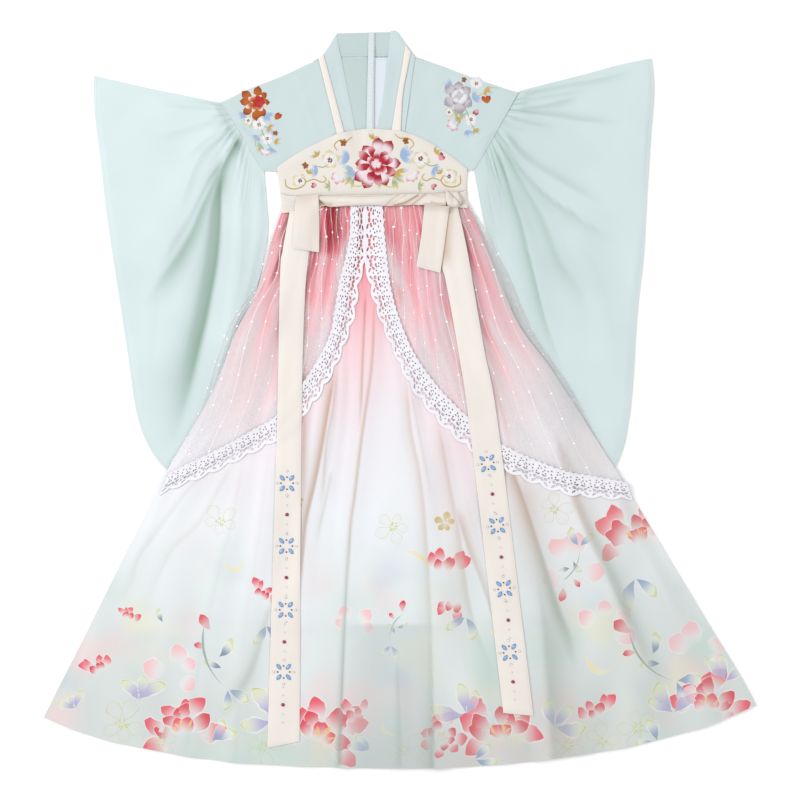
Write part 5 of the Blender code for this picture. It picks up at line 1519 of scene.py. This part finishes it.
def beads():
    """Glass beads sewn on the ties: half ellipsoids, pointed where they are long. Each is a small grid of
    rings, (cos a)(cos b) along, (sin a)^p (cos b) across and sin b up, with p 1.5 in the long ones and 1
    in the others."""
    rows, tint = [], []
    for x, y, turn in STARS:
        c, s = math.cos(math.radians(turn)), math.sin(math.radians(turn))
        for dx, dy, length, width, height, angle, glass in STAR:
            rows.append([x + dx * c - dy * s, y + dx * s + dy * c, length, width, height,
                         math.radians(angle + turn)])
            tint.append([hexa(code) for code in GLASS_SHADE_AND_HIGHLIGHT[glass]])
    for x, y in ROUND_BEADS:
        rows.append([x, y, 5.6, 5.2, 2.4, 0])
        tint.append([hexa(code) for code in GLASS_SHADE_AND_HIGHLIGHT["ruby"]])
        for step in (-26, -14, 14, 26):
            rows.append([x + 0.12 * (x > 0) * -step * 0.9, y + step, 2.4, 2.2, 1.2, 0])
            tint.append([hexa(code) for code in GLASS_SHADE_AND_HIGHLIGHT["clear"]])
    x, y, length, width, height, angle = np.array(rows).T[:, :, None, None]
    a = np.linspace(0, 2 * math.pi, 11)[None, None, :]
    b = np.linspace(0.02, math.pi / 2 - 0.02, 4)[None, :, None]
    pointed = np.where(length > 6, 1.5, 1.0)
    along = length / 2 * np.cos(a) * np.cos(b)
    across = width / 2 * np.sign(np.sin(a)) * np.abs(np.sin(a)) ** pointed * np.cos(b)
    plan = np.stack([x + along * np.cos(angle) - across * np.sin(angle),
                     y + along * np.sin(angle) + across * np.cos(angle)], axis=-1)
    up = lay_on(plan) + height * np.sin(b) + 0 * a
    points = np.concatenate([plan, up[..., None]], axis=-1)
    # Each bead is painted from shade at its foot to a highlight on its top
    share = smooth(np.linspace(0, 1.2, b.size))[None, :, None, None]
    rim, middle = np.array(tint).transpose(1, 0, 2)[:, :, None, None]
    tints = (rim * (1 - share) + middle * share) * np.ones((1, 1, a.size, 1))
    faces = many_faces(*points.shape[:3])
    points = points.reshape(-1, 3)
    return make_piece("tie_beads", points, up_faced(points, faces), cut_glass(),
                      {"glass": tints.reshape(-1, 4)}, np.stack([along, across], axis=-1).reshape(-1, 2),
                      crisp=30)


# ---------------------------------------------------------------- floor, light and camera
# Half of what the camera takes in, in metres, and the height above the floor at which it does
HALF_VIEW, VIEW_LEVEL = 0.584, 0.008
LENS, SENSOR = 100, 36
# (name, place, size, power)
LAMPS = (("key", (-2.1, 0.9, 2.1), 1.6, 47.0), ("fill", (1.9, -0.6, 2.2), 2.2, 14.0))


def studio():
    """A plain pale floor, a broad soft key from the upper left, a fill from the right and a camera
    straight above."""
    matt, _ = begun("matt_floor")
    mesh = bpy.data.meshes.new("floor")
    corners = ((-6, -6), (6, -6), (6, 6), (-6, 6))
    mesh.from_pydata([(x, y, -0.0004) for x, y in corners], [], [(0, 1, 2, 3)])
    mesh.materials.append(finished(matt, "#f7f7f7", 0.9))
    floor = placed("floor", mesh)
    for name, place, size, power in LAMPS:
        lamp = bpy.data.lights.new(name, "AREA")
        lamp.shape, lamp.size, lamp.energy = "SQUARE", size, power
        light = placed(name, lamp)
        light.location = x, y, z = place
        # Aimed at the middle of the floor
        light.rotation_euler = math.atan2(math.hypot(x, y), z), 0, math.atan2(y, x) + math.pi / 2
    world = bpy.data.worlds.new("studio")
    world.use_nodes = True
    fill(world.node_tree.nodes["Background"], {0: "#ffffff", 1: 0.76})
    bpy.context.scene.world = world
    lens = bpy.data.cameras.new("camera")
    lens.lens, lens.sensor_width, lens.clip_start = LENS, SENSOR, 0.1
    camera = placed("camera", lens)
    camera.location = 0, -0.0006, HALF_VIEW / (SENSOR / 2 / LENS) + VIEW_LEVEL
    bpy.context.scene.camera = camera
    bpy.context.scene.view_settings.view_transform = "Standard"


# ---------------------------------------------------------------- the garment, from the floor up
sleeve("sleeve_left", SLEEVE_LEFT, ARMHOLE_LEFT, SLEEVE_FAN_LEFT, SLEEVE_CREASES_LEFT, 0.4,
       [(0, 0.8), (0.2, 0.8), (0.5, 0.9), (0.62, 0.35), (0.75, 0.10), (1, 0.06)], 0.0)
sleeve("sleeve_right", SLEEVE_RIGHT, ARMHOLE_RIGHT, SLEEVE_FAN_RIGHT, SLEEVE_CREASES_RIGHT, 1.7,
       [(0, 0.9), (0.25, 0.9), (0.35, 0.5), (0.55, 1.0), (0.75, 0.7), (0.85, 0.20), (1, 0.06)], 0.09)
bodice_back()
inside_back()
back_band = cloth("chest_band_back", quad(QUADS["chest_band_back"]), cream_band, "cream_band")
overskirt_back()
skirt_behind()
skirt_front()
overskirt("left", OVERSKIRT_CREASES_LEFT, 0.5, 0.0)
overskirt("right", OVERSKIRT_CREASES_RIGHT, 2.1, 0.42)
lace("lace_left", LACE_LEFT, 6)
lace("lace_right", LACE_RIGHT, 12)
bodice_front()
collar()
straps()
chest_band()
ties()
sash()
silk = silk_thread()
stitched("band_embroidery", BAND_EMBROIDERY, BAND_CORDS)
stitched("left_shoulder_embroidery", SHOULDER_EMBROIDERY_LEFT, SHOULDER_CORDS_LEFT)
stitched("right_shoulder_embroidery", SHOULDER_EMBROIDERY_RIGHT, SHOULDER_CORDS_RIGHT)
beads()
studio()
